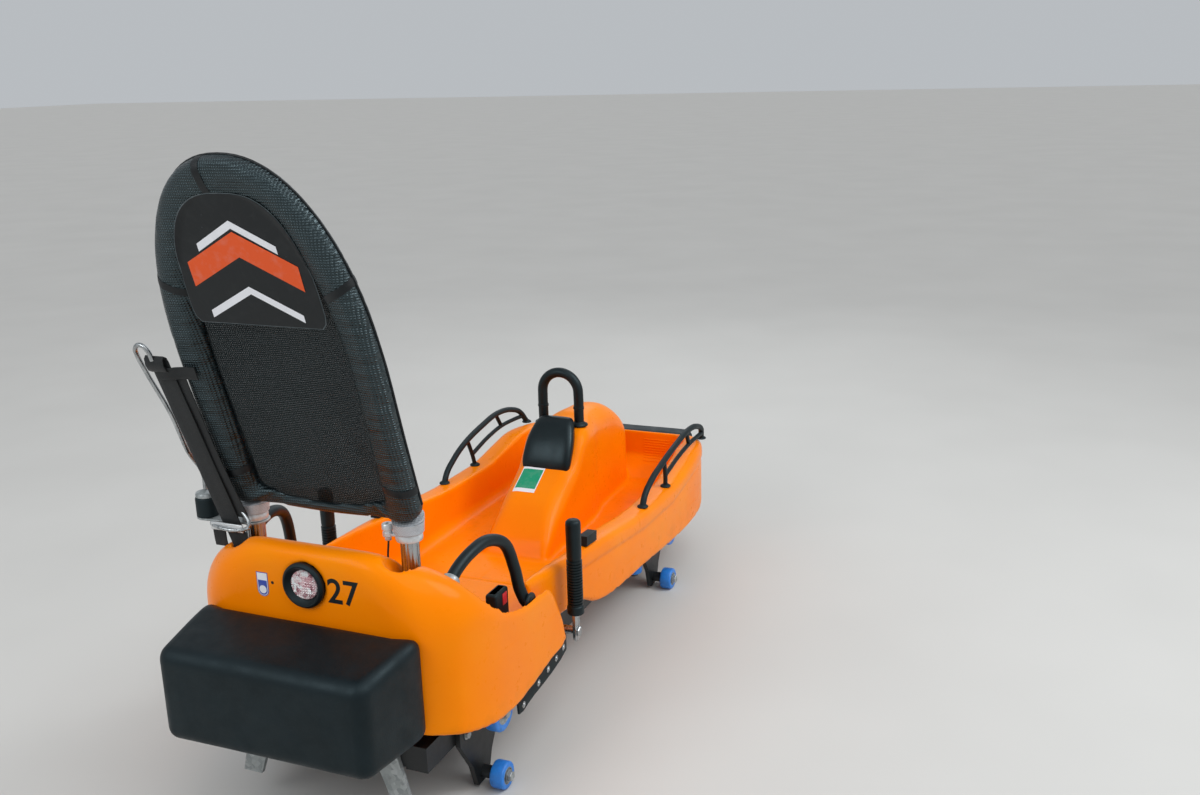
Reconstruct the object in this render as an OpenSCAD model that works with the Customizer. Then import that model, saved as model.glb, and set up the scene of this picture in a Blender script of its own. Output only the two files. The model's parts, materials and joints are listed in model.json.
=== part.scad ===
// Mountain coaster car for one or two riders on a twin tube track.
// Front is -Y, the car's left is +X and Z is up. Z = 0 is the floor under the lower rollers.
// Heights in the tables and in the names ending in _h are above the rail centre line.

/* [Track] */
// Distance between the centre lines of the two rail tubes
gauge = 590; // [586:1:594]
// Outer diameter of a rail tube
rail_d = 76; // [72:1:76]
// Gap between a rail and the rollers that only guide the car
rail_play = 2; // [1:0.5:4]

/* [Car] */
// Length over both bumpers
car_l = 1960; // [1940:1:2000]
// Half width of the rear shell at its widest
shell_w = 328; // [326:1:334]
// Half width of the front tub at its widest
tub_w = 325; // [324:1:330]
// Wall thickness of the plastic shells
wall = 8; // [6:0.5:9]
// Height of the seat floor
seat_h = 140; // [138:1:150]
// Height of the footwell floor
foot_h = 112; // [110:1:125]

/* [Wheels] */
// Diameter of the wheels that run on top of the rails
wheel_d = 84; // [76:1:86]
// Width of a running wheel
wheel_w = 30; // [24:1:30]
// Diameter of the rollers under the rails
under_d = 60; // [50:1:64]
// Width of a roller under the rail
under_w = 32; // [26:1:34]
// Diameter of the rollers beside the rails
side_d = 48; // [40:1:50]
// Height of a roller beside the rail
side_w = 30; // [24:1:36]
// Diameter of the axle stubs
axle_d = 16; // [12:1:20]
// Radial running clearance between a bore and its axle
run_fit = 0.1; // [0.05:0.01:0.1]
// Distance of the rear axles from the car's rear end
rear_overhang = 390; // [380:1:400]
// Distance of the front axles from the car's front end
front_overhang = 500; // [490:1:520]

/* [Chassis] */
// Width of a chassis beam
beam_w = 50; // [46:1:50]
// Depth of a chassis beam
beam_t = 55; // [45:1:56]
// Height of a beam's underside
beam_h = 40; // [38:1:42]
// Thickness of a wheel carrier plate
plate_t = 12; // [8:1:12]
// Diameter of the cross shaft of the brake levers
shaft_d = 20; // [16:1:22]

/* [Bumpers] */
// Length of the rear bumper along the car
rear_bumper_l = 176; // [150:1:190]
// Length of the front bumper along the car
front_bumper_l = 100; // [80:1:120]
// Underside of the rear bumper
bumper_h = 124; // [118:1:130]

/* [Backrest] */
// Lean of the backrest from upright, in degrees
lean = 17; // [12:1:20]
// Length of the backrest along its slope
back_l = 740; // [680:1:760]
// Half width of the backrest over its padded roll
back_w = 222; // [212:1:226]
// Width of the padded roll
roll_w = 74; // [60:1:80]
// Thickness of the padded roll
roll_t = 62; // [50:1:70]
// Distance of each post from the middle of the car
post_x = 183; // [176:1:186]
// Diameter of a post
post_d = 42; // [36:1:44]

/* [Controls] */
// Length of a brake lever's rubber grip
grip_l = 212; // [180:1:230]
// Diameter of a grip
grip_d = 28; // [24:1:30]
// Width of the rider's hoop handle between its leg centres
hoop_w = 120; // [100:1:130]
// Diameter of the hoop handle's tube
hoop_d = 28; // [24:1:30]
// Height of the top of the hoop handle
hoop_h = 555; // [540:1:570]

/* [Hidden] */
// Names of the solids

orange = "#ff8a00";
black = "#1b2526";
steel = "#9aa0a2";
blue = "#3f8fe0";
// Gap left where a curved face of one body lies against another
seat_gap = 0.3;
rail_z = under_d + rail_play + rail_d / 2;
axle_x = gauge / 2;
// The seat group is placed from the car's rear end and the nose group from its front end. In their tables the
// shell's tail is at shell_tail and the tub's nose at tub_nose, and the values move each group as a whole.
shell_tail = 804;
tub_nose = -880;
seat_dy = car_l / 2 - rear_bumper_l - shell_tail;
nose_dy = front_bumper_l - car_l / 2 - tub_nose;
rear_wheel_y = car_l / 2 - rear_overhang;
front_wheel_y = front_overhang - car_l / 2;
rail_inner_x = axle_x - rail_d / 2;
// Outer and inner face of the beams
beam_out = rail_inner_x - plate_t - 5;
beam_in = beam_out - beam_w;
beam_top = beam_h + beam_t;
wheel_h = (rail_d + wheel_d) / 2;
arc_n = 6;

// Shells by sections along Y
// Points of one rounded corner about (cx, cz), starting at the angle a0
function corner(cx, cz, r, a0, y) =
    [for (i = [0 : arc_n]) let (a = a0 + 90 * i / arc_n) [cx + r * cos(a), y, cz + r * sin(a)]];
// One section: its place y, half width w, lower edge lo, upper edge hi and the radii of the upper and lower corners
function ring(y, w, lo, hi, r, low_r) = concat(
    corner(w - r, hi - r, r, 0, y), corner(r - w, hi - r, r, 90, y),
    corner(low_r - w, lo + low_r, low_r, 180, y), corner(w - low_r, lo + low_r, low_r, 270, y));
// Solid through a table of sections with the columns y, half width, lower edge, upper edge, radius of the upper
// corners and, where it differs, low_r for all the lower corners
module loft(table, low_r = 0) {
    rings = [for (s = table) ring(s[0], s[1], s[2], s[3], s[4], low_r > 0 ? low_r : s[4])];
    n = len(rings[0]);
    last = (len(table) - 1) * n;
    polyhedron(
        points = [for (r = rings) each r],
        faces = concat([[for (i = [n - 1 : -1 : 0]) i]], [[for (i = [0 : n - 1]) last + i]],
            [for (k = [0 : len(table) - 2], i = [0 : n - 1])
                let (a = k * n + i, b = k * n + (i + 1) % n) [a, b, b + n]],
            [for (k = [0 : len(table) - 2], i = [0 : n - 1])
                let (a = k * n + i, b = k * n + (i + 1) % n) [a, b + n, a + n]]));
}

// Helpers
module at_rail() translate([0, 0, rail_z]) children();
module at_seat() translate([0, seat_dy, rail_z]) children();
module at_nose() translate([0, nose_dy, rail_z]) children();
// Rows of a table moved along the car
function moved(rows, dy) = [for (r = rows) [r[0] + dy, r[1], r[2], r[3], r[4]]];
// The row of a table at the place y
function row_at(rows, y) = [for (k = [0 : 4]) k == 0 ? y : lookup(y, [for (r = rows) [r[0], r[k]]])];
// Width, lower and upper edge of a row made smaller by w, lo and hi
function inside(row, w, lo, hi) = [row[0], row[1] - w, row[2] + lo, row[3] - hi, max(row[4] - w, 4)];
// The children as they are for the car's left, mirrored for its right
module on_side(side) mirror([side < 0 ? 1 : 0, 0, 0]) children();
module both_sides() for (side = [-1, 1]) on_side(side) children();
function unit(v) = v / norm(v);
// Smooth curve through the points p with n steps between each two
function curve_at(a, b, c, d, t) = 0.5 * (2 * b + (c - a) * t + (2 * a - 5 * b + 4 * c - d) * t * t
    + (3 * b - a - 3 * c + d) * t * t * t);
function curve(p, n) = let (m = len(p) - 1) concat(
    [for (i = [0 : m - 1], k = [0 : n - 1])
        curve_at(p[max(i - 1, 0)], p[i], p[i + 1], p[min(i + 2, m)], k / n)],
    [p[m]]);
// Round tube of diameter d along a route that never runs along the direction ref
module tube_run(route, d, ref = [1, 0, 0], sides = 12) {
    n = len(route);
    function along(i) = unit(route[min(i + 1, n - 1)] - route[max(i - 1, 0)]);
    polyhedron(
        points = [for (i = [0 : n - 1])
            let (t = along(i), u = unit(cross(ref, t)), v = cross(t, u))
            for (k = [0 : sides - 1])
                let (a = 360 * k / sides) route[i] + d / 2 * (cos(a) * u + sin(a) * v)],
        faces = concat([[for (k = [0 : sides - 1]) k]], [[for (k = [sides - 1 : -1 : 0]) (n - 1) * sides + k]],
            [for (i = [0 : n - 2], k = [0 : sides - 1])
                let (a = i * sides + k, b = i * sides + (k + 1) % sides) [a, b + sides, b]],
            [for (i = [0 : n - 2], k = [0 : sides - 1])
                let (a = i * sides + k, b = i * sides + (k + 1) % sides) [a, a + sides, b + sides]]));
}
// Cylinder along X between x0 and x1
module bar_x(x0, x1, d) translate([min(x0, x1), 0, 0]) rotate([0, 90, 0])
    cylinder(h = abs(x1 - x0), d = d, $fn = 48);
module box(x0, x1, y0, y1, z0, z1) translate([x0, y0, z0]) cube([x1 - x0, y1 - y0, z1 - z0]);

// Chassis
cross_w = 40;
beam_front = tub_nose + 80 + nose_dy;
beam_rear = shell_tail - 14 + seat_dy;
// Places of the cross members
cross_at = [beam_front + 40, front_wheel_y, -60 + seat_dy, 330 + seat_dy, rear_wheel_y, 700 + seat_dy,
    beam_rear - 20];
pad_l = 50;
pin_flange_t = 5;
module chassis_frame() color(black) at_rail() {
    difference() {
        union() {
            both_sides() box(beam_in, beam_out, beam_front, beam_rear, beam_h, beam_top);
            for (y = cross_at)
                box(-beam_in - 1, beam_in + 1, y - cross_w / 2, y + cross_w / 2, beam_h + 5, beam_top);
            // Bearing blocks of the brake shaft
            both_sides() box(beam_in + 5, beam_out - 5, lever_y - 25, lever_y + 25, beam_top - 1, lever_h + 17);
            // Pads that carry the seat shell and the tub
            for (y = [480 + seat_dy, 640 + seat_dy]) pads(y, seat_h - wall);
            for (y = [-700 + nose_dy, -250 + nose_dy, 20 + seat_dy]) pads(y, foot_h - wall);
        }
        translate([0, lever_y, lever_h]) bar_x(-gauge, gauge, shaft_d + 2 * run_fit);
    }
    // Pins of the side rollers
    both_sides() for (y = [rear_wheel_y - side_step, front_wheel_y + side_step])
        translate([side_x, y, -side_w / 2]) {
            translate([0, 0, -8]) cylinder(h = beam_h + side_w / 2 + 9, d = axle_d, $fn = 48);
            translate([0, 0, -2 - pin_flange_t]) cylinder(h = pin_flange_t, d = axle_d + 10, $fn = 48);
        }
}
module pads(y, top) both_sides()
    box(beam_in + 8, beam_out - 8, y - pad_l / 2, y + pad_l / 2, beam_top - 1, top);
side_step = 110;
side_x = rail_inner_x - rail_play - side_d / 2;
lever_y = 262 + seat_dy;
lever_h = 116;

// Galvanised plate on the beams' rear ends with two legs and the tow holes
end_t = 10;
end_foot = beam_in + 15;
end_leg = 45;
end_drop = 40;
tow_s = 120;
tow_h = beam_top;
module rear_end_plate() color(steel) at_rail() translate([0, beam_rear, 0]) rotate([90, 0, 180])
    linear_extrude(end_t) difference() {
        polygon([[-end_foot, -end_drop], [end_leg - end_foot, -end_drop], [-tow_s, tow_h - 25],
            [tow_s, tow_h - 25], [end_foot - end_leg, -end_drop], [end_foot, -end_drop],
            [end_foot - 40, tow_h + 25], [40 - end_foot, tow_h + 25]]);
        for (side = [-1, 1]) translate([side * tow_s / 2, tow_h]) circle(d = 12, $fn = 24);
    }

// Wheel carrier: the plate beside the beam with the two axle stubs that it holds
carrier_l = 180;
waist_l = 84;
tip_l = 48;
module carrier(side, y) color(black) at_rail() translate([0, y, 0]) on_side(side) {
    translate([beam_out, 0, 0]) rotate([90, 0, 90]) linear_extrude(plate_t) polygon([
        [-carrier_l / 2, beam_top], [carrier_l / 2, beam_top],
        [carrier_l / 2, beam_h - 4], [waist_l / 2, -rail_d / 2],
        [tip_l / 2, under_low + 8], [-tip_l / 2, under_low + 8],
        [-waist_l / 2, -rail_d / 2], [-carrier_l / 2, beam_h - 4]]);
    axle(wheel_h, wheel_w);
    axle(under_h, under_w);
}
// Stub of an axle with its shoulder, for a wheel of width w
module axle(h, w) translate([0, 0, h]) {
    bar_x(beam_out + 1, axle_x + w / 2 + 4, axle_d);
    bar_x(beam_out + plate_t - 1, axle_x - w / 2 - 1, axle_d + 12);
}
under_h = -(rail_d + under_d) / 2 - rail_play;
under_low = under_h - under_d / 2;

// Wheels
module roller(d, w) difference() {
    rotate([0, 90, 0]) translate([0, 0, -w / 2]) cylinder(h = w, d = d, $fn = 64);
    rotate([0, 90, 0]) translate([0, 0, -w]) cylinder(h = 2 * w, d = axle_d + 2 * run_fit, $fn = 48);
}
module wheel(side, y) color(blue) at_rail() translate([side * axle_x, y, wheel_h]) roller(wheel_d, wheel_w);
module under_roller(side, y) color(blue) at_rail() translate([side * axle_x, y, under_h])
    roller(under_d, under_w);
module side_roller(side, y) color(blue) at_rail() translate([side * side_x, y, 0]) rotate([0, 90, 0])
    roller(side_d, side_w);

// Room round a running wheel
arch_gap = 8;
module arches(y) both_sides() translate([0, y, wheel_h])
    bar_x(axle_x - wheel_w / 2 - arch_gap / 2, axle_x + wheel_w / 2 + arch_gap / 2, wheel_d + 2 * arch_gap);

// Rear shell with the seat
// Columns: y, half width, lower edge, upper edge, corner radius
shell_out = [
    [300, shell_w - 2, 112, 122, 4],
    [333, shell_w, 106, 199, 12],
    [390, shell_w, 103, 282, 20],
    [480, shell_w, 90, 294, 28],
    [562, shell_w, 84, 316, 34],
    [620, shell_w - 1, 86, 354, 50],
    [660, shell_w - 5, 92, 392, 70],
    [700, shell_w - 13, 100, 438, 110],
    [740, shell_w - 27, 110, 468, 150],
    [770, shell_w - 53, 118, 486, 172],
    [790, shell_w - 80, 124, 482, 165],
    [800, shell_w - 106, 128, 470, 150],
    [shell_tail, shell_w - 126, 130, 454, 140]];
shelf_y = 672;
// Height of the shell's top at a place along the car
function shelf_at(y) = row_at(shell_out, y)[3];
module rear_shell() color(orange) difference() {
    at_seat() difference() {
        loft(shell_out, 4);
        // Room for the rider
        loft([[280, shell_w - wall, seat_h, 700, 20], [560, shell_w - wall, seat_h, 700, 50],
            [632, shell_w - 8 - wall, seat_h, 700, 60], [655, shell_w - 20 - wall, seat_h + 50, 700, 60],
            [shelf_y, shell_w - 36 - wall, seat_h + 160, 700, 50]]);
        // Room for the wheels and beams under the seat
        loft([[280, shell_w - wall, 0, seat_h - wall, 8], [560, shell_w - wall, 0, seat_h - wall, 8],
            [636, shell_w - 5 - wall, 0, seat_h - wall, 8],
            [shelf_y - 20, shell_w - 14 - wall, 0, seat_h - wall, 8]]);
        // Hollow behind the seat
        loft([[shelf_y - 25, shell_w - 40, 0, seat_h - wall, 8],
            [shelf_y + wall, shell_w - 34 - wall, 0, seat_h + 60, 8],
            [shelf_y + wall + 1, shell_w - 40 - wall, 0, 370, 60], [740, shell_w - 56 - wall, 0, 420, 120],
            [794, shell_w - 130 - wall, 0, 420, 120]]);
        // Holes for the posts with the notch behind each, and for the lamp
        both_sides() translate([post_x, post_y, 0]) cylinder(h = 600, d = post_d + 8, $fn = 48);
        both_sides() translate([post_x, post_y, notch_h]) rotate([-notch_lean, 0, 0])
            cylinder(h = 200, d = post_d + 12, $fn = 48);
        both_sides() translate([post_x, post_y, back_h - 60]) cylinder(h = 200, d = collar_d + 6, $fn = 48);
        // Room for the belt's bracket and for the belt in the left notch
        box(post_x - 34, reel_x + 30, post_y - 34, back_y + 52, bar_h - bar_d / 2 - 2, 900);
        box(post_x - 26, post_x + 36, post_y, back_y + 47, notch_h - 40, 700);
        translate([0, lamp_y - 40, lamp_h]) rotate([-90, 0, 0]) cylinder(h = 60, d = lamp_d - 8, $fn = 64);
    }
    at_rail() arches(rear_wheel_y);
}

// Front tub
// Columns: y, half width, lower edge, upper edge, corner radius
tub_nose_rows = [
    [tub_nose, tub_w - 110, 96, 236, 30],
    [-850, tub_w - 64, 76, 250, 30],
    [-790, tub_w - 28, 62, 262, 26],
    [-700, tub_w - 5, 58, 262, 22],
    [-600, tub_w, 56, 246, 20],
    [-448, tub_w, 62, 225, 18]];
tub_seat_rows = [
    [-222, tub_w - 3, 80, 230, 18],
    [-23, tub_w - 9, 88, 252, 18],
    [70, tub_w - 15, 102, 260, 18],
    [158, shell_w - 24, 140, 268, 18],
    [236, shell_w - 30, 148, 276, 18],
    [300, shell_w - 36, 150, 282, 18],
    [400, shell_w - 45, 150, 290, 18]];
tub_out = concat(moved(tub_nose_rows, nose_dy), moved(tub_seat_rows, seat_dy));
// Height of the rim at a place along the car
function rim_at(y) = row_at(tub_out, y)[3];
// Half width of the footwell
inner_w = tub_w - 63;
lap_w = shell_w - 60;
// Height of the tub's floor where it laps over the seat floor
lap_h = seat_h + 20;
module front_tub() color(orange) at_rail() {
    difference() {
        loft(tub_out, 8);
        // Room for the legs
        loft(concat(moved([[-845, inner_w - 70, foot_h + 60, 500, 20], [-760, inner_w - 12, foot_h, 500, 30],
                [-300, inner_w, foot_h, 500, 30]], nose_dy),
            moved([[70, inner_w, foot_h, 500, 30], [170, lap_w, lap_h, 500, 30],
                [410, lap_w, lap_h, 500, 30]], seat_dy)));
        // Room under the floor, and in the hollow side walls
        loft(concat(moved([[-860, inner_w - 60, -100, foot_h - wall, 8],
                [-740, tub_w - wall - 8, -100, foot_h - wall, 8]], nose_dy),
            moved([[70, tub_w - 20 - wall, -100, foot_h - wall, 8],
                [160, shell_w - 33 - wall, -100, lap_h - wall, 8],
                [410, shell_w - 53 - wall, -100, lap_h - wall, 8]], seat_dy)));
        both_sides() translate([(inner_w + tub_w) / 2, 0, 0]) loft(side_hollow);
        arches(front_wheel_y);
    }
    translate([0, nose_dy, 0]) tunnel();
}
// Hollow of one side wall, open below
hollow_w = (tub_w - inner_w) / 2 - wall;
side_hollow = [for (r = concat(moved([[-712, hollow_w - 5, 0, 0, 6], [-660, hollow_w, 0, 0, 6],
        [-600, hollow_w, 0, 0, 6], [-448, hollow_w, 0, 0, 6]], nose_dy),
        moved([for (y = [-222, -23]) [y, hollow_w - 5, 0, 0, 6]], seat_dy)))
    [r[0], r[1], -100, rim_at(r[0]) - wall, 6]];
// Columns: y, half width, lower edge, upper edge, corner radius
tunnel_low = foot_h - 4;
hump_h = 392;
tunnel_out = [
    [-800, 50, tunnel_low, 262, 20],
    [-740, 66, tunnel_low, 330, 40],
    [-680, 62, tunnel_low, 378, 44],
    [-613, 60, tunnel_low, hump_h + 14, 46],
    [-500, 64, tunnel_low, hump_h + 16, 46],
    [-450, 90, tunnel_low, hump_h, 28],
    [-395, 92, tunnel_low, hump_h, 28],
    [-310, 92, tunnel_low, 306, 40],
    [-190, 92, tunnel_low, 236, 40],
    [-90, 96, tunnel_low, foot_h + 40, 16]];
module tunnel() difference() {
    loft(tunnel_out);
    loft([for (r = tunnel_out) inside([r[0] + (r[0] < -700 ? 6 : 0), r[1], -60, r[3], r[4]], wall, 0, wall)]);
}

pad_half = shell_w - 138;
module seat_pad() color(black) at_seat() hull() {
    for (x = [-pad_half, pad_half], y = [450, 590])
        translate([x, y, seat_h + seat_gap]) cylinder(h = 30, r = 40, $fn = 32);
}

// Black guards bolted below the rear shell's lower front edges
guard_t = 6;
module sill_guards() color(black) at_seat() both_sides()
    translate([shell_w - wall - guard_t - seat_gap, 0, 0]) rotate([90, 0, 90]) linear_extrude(guard_t)
        polygon([[296, 120], [330, 122], [470, 118], [540, 112], [540, 48], [520, 52], [470, 84], [400, 96],
            [300, 104]]);

// Bumpers: foam block from y0 to y1 with its upper edge at hi0 and hi1 there, and round edges of radius r
module soft_block(w, y0, y1, lo, hi0, hi1, r) {
    steps = 4;
    function row(y, dir, hi, a) = let (e = r * (1 - sin(a)))
        [y + dir * r * (1 - cos(a)), w - e, lo + e, hi - e, 2 + (r - 2) * sin(a)];
    loft(concat([for (i = [0 : steps]) row(y0, 1, hi0, 90 * i / steps)],
        [for (i = [steps : -1 : 0]) row(y1, -1, hi1, 90 * i / steps)]));
}
bumper_t = 221;
nose_t = 122;
module rear_bumper() color(black) at_seat() soft_block(shell_w - 80, shell_tail + seat_gap,
    shell_tail + rear_bumper_l, bumper_h, bumper_h + bumper_t, bumper_h + bumper_t - 27, 28);
module front_bumper() color(black) at_nose() soft_block(tub_w - 110, tub_nose - front_bumper_l,
    tub_nose - seat_gap, bumper_h - 14, bumper_h - 14 + nose_t, bumper_h - 6 + nose_t, 24);

// Tail lamp
lamp_h = 414;
lamp_d = 94;
lamp_y = 806;
lens_t = 14;
module lamp_bezel() color(black) at_seat() translate([0, 0, lamp_h]) rotate([-90, 0, 0]) difference() {
    translate([0, 0, lamp_y - 1.7]) cylinder(h = 12, d = lamp_d, $fn = 64);
    translate([0, 0, lamp_y - 26]) cylinder(h = 26, d = lamp_d - 12, $fn = 64);
    translate([0, 0, lamp_y - 8]) cylinder(h = 40, d = lamp_d - 20, $fn = 64);
}
module lamp_lens() color("#e8c8c4") at_seat() translate([0, lamp_y - 8, lamp_h]) rotate([-90, 0, 0])
    cylinder(h = lens_t, d = lamp_d - 22, $fn = 64);

// Backrest
back_y = 712;
back_h = 540;
// Places the children in the plane of the backrest: X across, Y along its slope, Z towards the rider
module in_back() at_seat() translate([0, back_y, back_h]) rotate([90 - lean, 0, 0]) children();
// Outline of the backrest: straight sides, a high round top and round lower corners. The sides and the top are
// moved in by inset and the lower edge by low
top_rise = 440;
corner_r = 60;
module back_outline(inset, low) {
    w = back_w - inset;
    foot_w = w - 10;
    r = max(corner_r - inset, 20);
    power = 0.9;
    polygon(concat(
        [for (a = [0 : 6 : 180])
            [w * sign(cos(a)) * pow(abs(cos(a)), power),
                back_l - top_rise + (top_rise - inset) * pow(sin(a), power)]],
        [for (a = [180 : 15 : 270]) [-foot_w + r + r * cos(a), low + r + r * sin(a)]],
        [for (a = [270 : 15 : 360]) [foot_w - r + r * cos(a), low + r + r * sin(a)]]));
}
// Width of the thin roll along the lower edge
hem_w = 34;
mesh_t = 6;
module back_roll() color(black) in_back() translate([0, 0, -roll_t / 2]) linear_extrude(roll_t) difference() {
    back_outline(0, 0);
    back_outline(roll_w, hem_w);
}
module back_mesh() color("#2a3234") in_back() translate([0, 0, -mesh_t / 2]) linear_extrude(mesh_t)
    back_outline(roll_w + seat_gap, hem_w + seat_gap);

// Posts from the chassis through the notches of the shell, and the collars that clamp the backrest on them
post_y = back_y - 6;
notch_h = 412;
notch_lean = 38;
collar_d = 66;
ring_d = 60;
ring_h = back_h - 46;
module seat_posts() color(steel) at_seat() both_sides() translate([post_x, post_y, beam_top])
    cylinder(h = ring_h + 16 - seat_gap - beam_top, d = post_d, $fn = 48);
module post_collars() color("#a9adab") at_seat() both_sides() difference() {
    union() {
        translate([post_x, post_y, ring_h + 16]) cylinder(h = 60, d = collar_d, $fn = 48);
        translate([post_x, post_y, ring_h]) cylinder(h = 16.5, d = ring_d, $fn = 48);
    }
    translate([post_x, post_y, ring_h - 1]) cylinder(h = 17, d = post_d + 1, $fn = 48);
    // Cut along the lower edge of the backrest
    translate([0, back_y, back_h]) rotate([-lean, 0, 0]) translate([0, -100, -1]) cube([gauge, 200, 200]);
}

// Belt on the car's left: a reel on a bracket below the left collar with a hooked rod on its cap, and the strap
// that runs from the hook behind the bracket's bar into the notch of the left post
reel_x = post_x + 107;
reel_y = post_y + 16;
reel_d = 46;
reel_l = 56;
bracket_t = 4;
bracket_h = ring_h - seat_gap - bracket_t;
bar_d = 8;
bar_h = bracket_h - bar_d / 2 + 2;
bar_route = [[reel_x - 18, back_y + 16, bar_h], [reel_x - 34, back_y + 42, bar_h],
    [post_x - 15, back_y + 43, bar_h], [post_x - 23, back_y + 40, bar_h + 7],
    [post_x + 1, post_y + (collar_d + bar_d) / 2 + seat_gap, bar_h + 36]];
module belt_bracket() color(steel) at_seat() {
    translate([0, 0, bracket_h]) difference() {
        union() {
            translate([post_x, post_y, 0]) cylinder(h = bracket_t, d = ring_d, $fn = 48);
            translate([reel_x, reel_y, 0]) cylinder(h = bracket_t, d = reel_d, $fn = 48);
            linear_extrude(bracket_t) polygon([[post_x, post_y - 28], [reel_x, reel_y - 22],
                [reel_x, reel_y + 22], [post_x, post_y + 28]]);
        }
        translate([post_x, post_y, -1]) cylinder(h = bracket_t + 2, d = post_d + 1, $fn = 48);
    }
    tube_run(bar_route, bar_d, [0, 0.3, 1], 8);
}
module belt_reel() color(black) at_seat() translate([reel_x, reel_y, bracket_h + bracket_t])
    cylinder(h = reel_l, d = reel_d, $fn = 48);
// Places the children in the plane behind the backrest, from the middle of its lower edge
module behind_back() at_seat() translate([0, back_y, back_h]) rotate([-lean, 0, 0]) children();
// A point given by its distances behind back_y and above back_h, turned into that plane
function in_lean(x, y, z) = [x, y * cos(lean) - z * sin(lean), y * sin(lean) + z * cos(lean)];
rod_d = 10;
rod_foot = bracket_h + bracket_t + reel_l + 2 - back_h;
rod_route = [in_lean(reel_x, reel_y - back_y, rod_foot), in_lean(reel_x, reel_y - back_y, rod_foot + 25),
    [back_w + 60, 22, 120], [back_w + 60, 28, 210], [back_w + 76, 36, 320], [back_w + 76, 40, 350],
    [back_w + 60, 44, 374], [back_w + 44, 45, 372], [back_w + 37, 46, 350]];
module belt_crook() color(steel) behind_back() tube_run(curve(rod_route, 3), rod_d, [0, 1, 0], 8);
strap_w = 46;
strap_t = 3;
// A point of the plane behind the backrest, seen from the middle of its lower edge
function from_lean(x, y, z) = [x, back_y + y * cos(lean) + z * sin(lean), back_h - y * sin(lean) + z * cos(lean)];
strap_route = [from_lean(back_w + 30, 38, 340), from_lean(post_x + 31, 43, -32),
    [post_x + 18, back_y + 35, back_h - 62], [post_x, back_y + 36, notch_h + 20]];
module belt_webbing() color(black) {
    at_seat() polyhedron(
        points = [for (p = strap_route, c = [[-1, -1], [1, -1], [1, 1], [-1, 1]])
            p + [c[0] * strap_w / 2, c[1] * strap_t / 2, 0]],
        faces = concat([[3, 2, 1, 0]], [for (i = [0 : 2], k = [0 : 3])
            let (a = 4 * i + k, b = 4 * i + (k + 1) % 4) [a, b, b + 4, a + 4]], [[12, 13, 14, 15]]));
    // Loop that holds the strap on the backrest
    behind_back() translate([back_w - 50, roll_t / 2 + seat_gap, 300]) cube([60, 14, 30]);
}
module belt_buckle() color(black) at_seat() translate([60 - shell_w, 520, seat_h]) {
    translate([-2, -18, seat_gap]) cube([5, 36, 70]);
    translate([-13, -30, 60]) cube([26, 60, 120]);
}

// Black bent tubes beside the rider's hips. Columns: distance inside shell_w, y, height
hip_route = [[78, 660, 350], [76, 640, 358], [68, 590, 394], [60, 530, 412], [48, 486, 394], [40, 466, 320],
    [22, 462, 272]];
module hip_tubes() color(black) at_seat() both_sides()
    tube_run(concat([[shell_w - 78, shelf_y - seat_gap, 350]],
        curve([for (p = hip_route) [shell_w - p[0], p[1], p[2]]], 3),
        [[shell_w - wall - seat_gap, 462, 272]]), 26, [0.4, 1, 0]);

// Hoop handle
hoop_y = -420;
module hoop_handle() color(black) at_nose() translate([0, hoop_y, 0]) {
    top = hoop_h - hoop_w / 2 - hoop_d / 2;
    translate([0, 0, top]) rotate([90, 0, 0]) rotate_extrude(angle = 180, $fn = 64)
        translate([hoop_w / 2, 0]) circle(d = hoop_d, $fn = 32);
    for (side = [-1, 1]) translate([side * hoop_w / 2, 0, hump_h])
        cylinder(h = top - hump_h, d = hoop_d, $fn = 32);
}
module handle_boot() color(black) at_nose() difference() {
    hull() {
        translate([-54, -316, hump_h - 90]) cube([108, 4, 8]);
        translate([-48, -340, hump_h - 42]) cube([96, 4, 8]);
        translate([-36, -403, hump_h + 32]) cube([72, 10, 4]);
    }
    loft(tunnel_out);
}

// Side guards on the tub's rim. Columns: distance outside the rim's middle, y, height above the rail
rim_x = tub_w - 22;
function over_rim(y) = rim_at(y + nose_dy) + seat_gap;
upper_rail = [[0, -262, over_rim(-262)], [0, -270, 246], [2, -330, 284], [6, -400, 306], [8, -620, 338],
    [2, -770, 300], [-8, -796, over_rim(-790)]];
lower_rail = [[3, -440, 262], [6, -640, 292], [2, -776, 286]];
rear_strut = [[6, -420, 308], [2, -440, 262], [0, -444, rim_at(-448 + nose_dy) + 1.5]];
front_strut = [[8, -610, 336], [6, -640, 292]];
function beside_rim(p) = [for (q = p) [rim_x + q[0], q[1], q[2]]];
module side_guard(side) color(black) at_nose() on_side(side) {
    tube_run(curve(beside_rim(upper_rail), 3), 16);
    tube_run(curve(beside_rim(lower_rail), 3), 12);
    tube_run(beside_rim(rear_strut), 12);
    tube_run(beside_rim(front_strut), 10);
}

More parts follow.
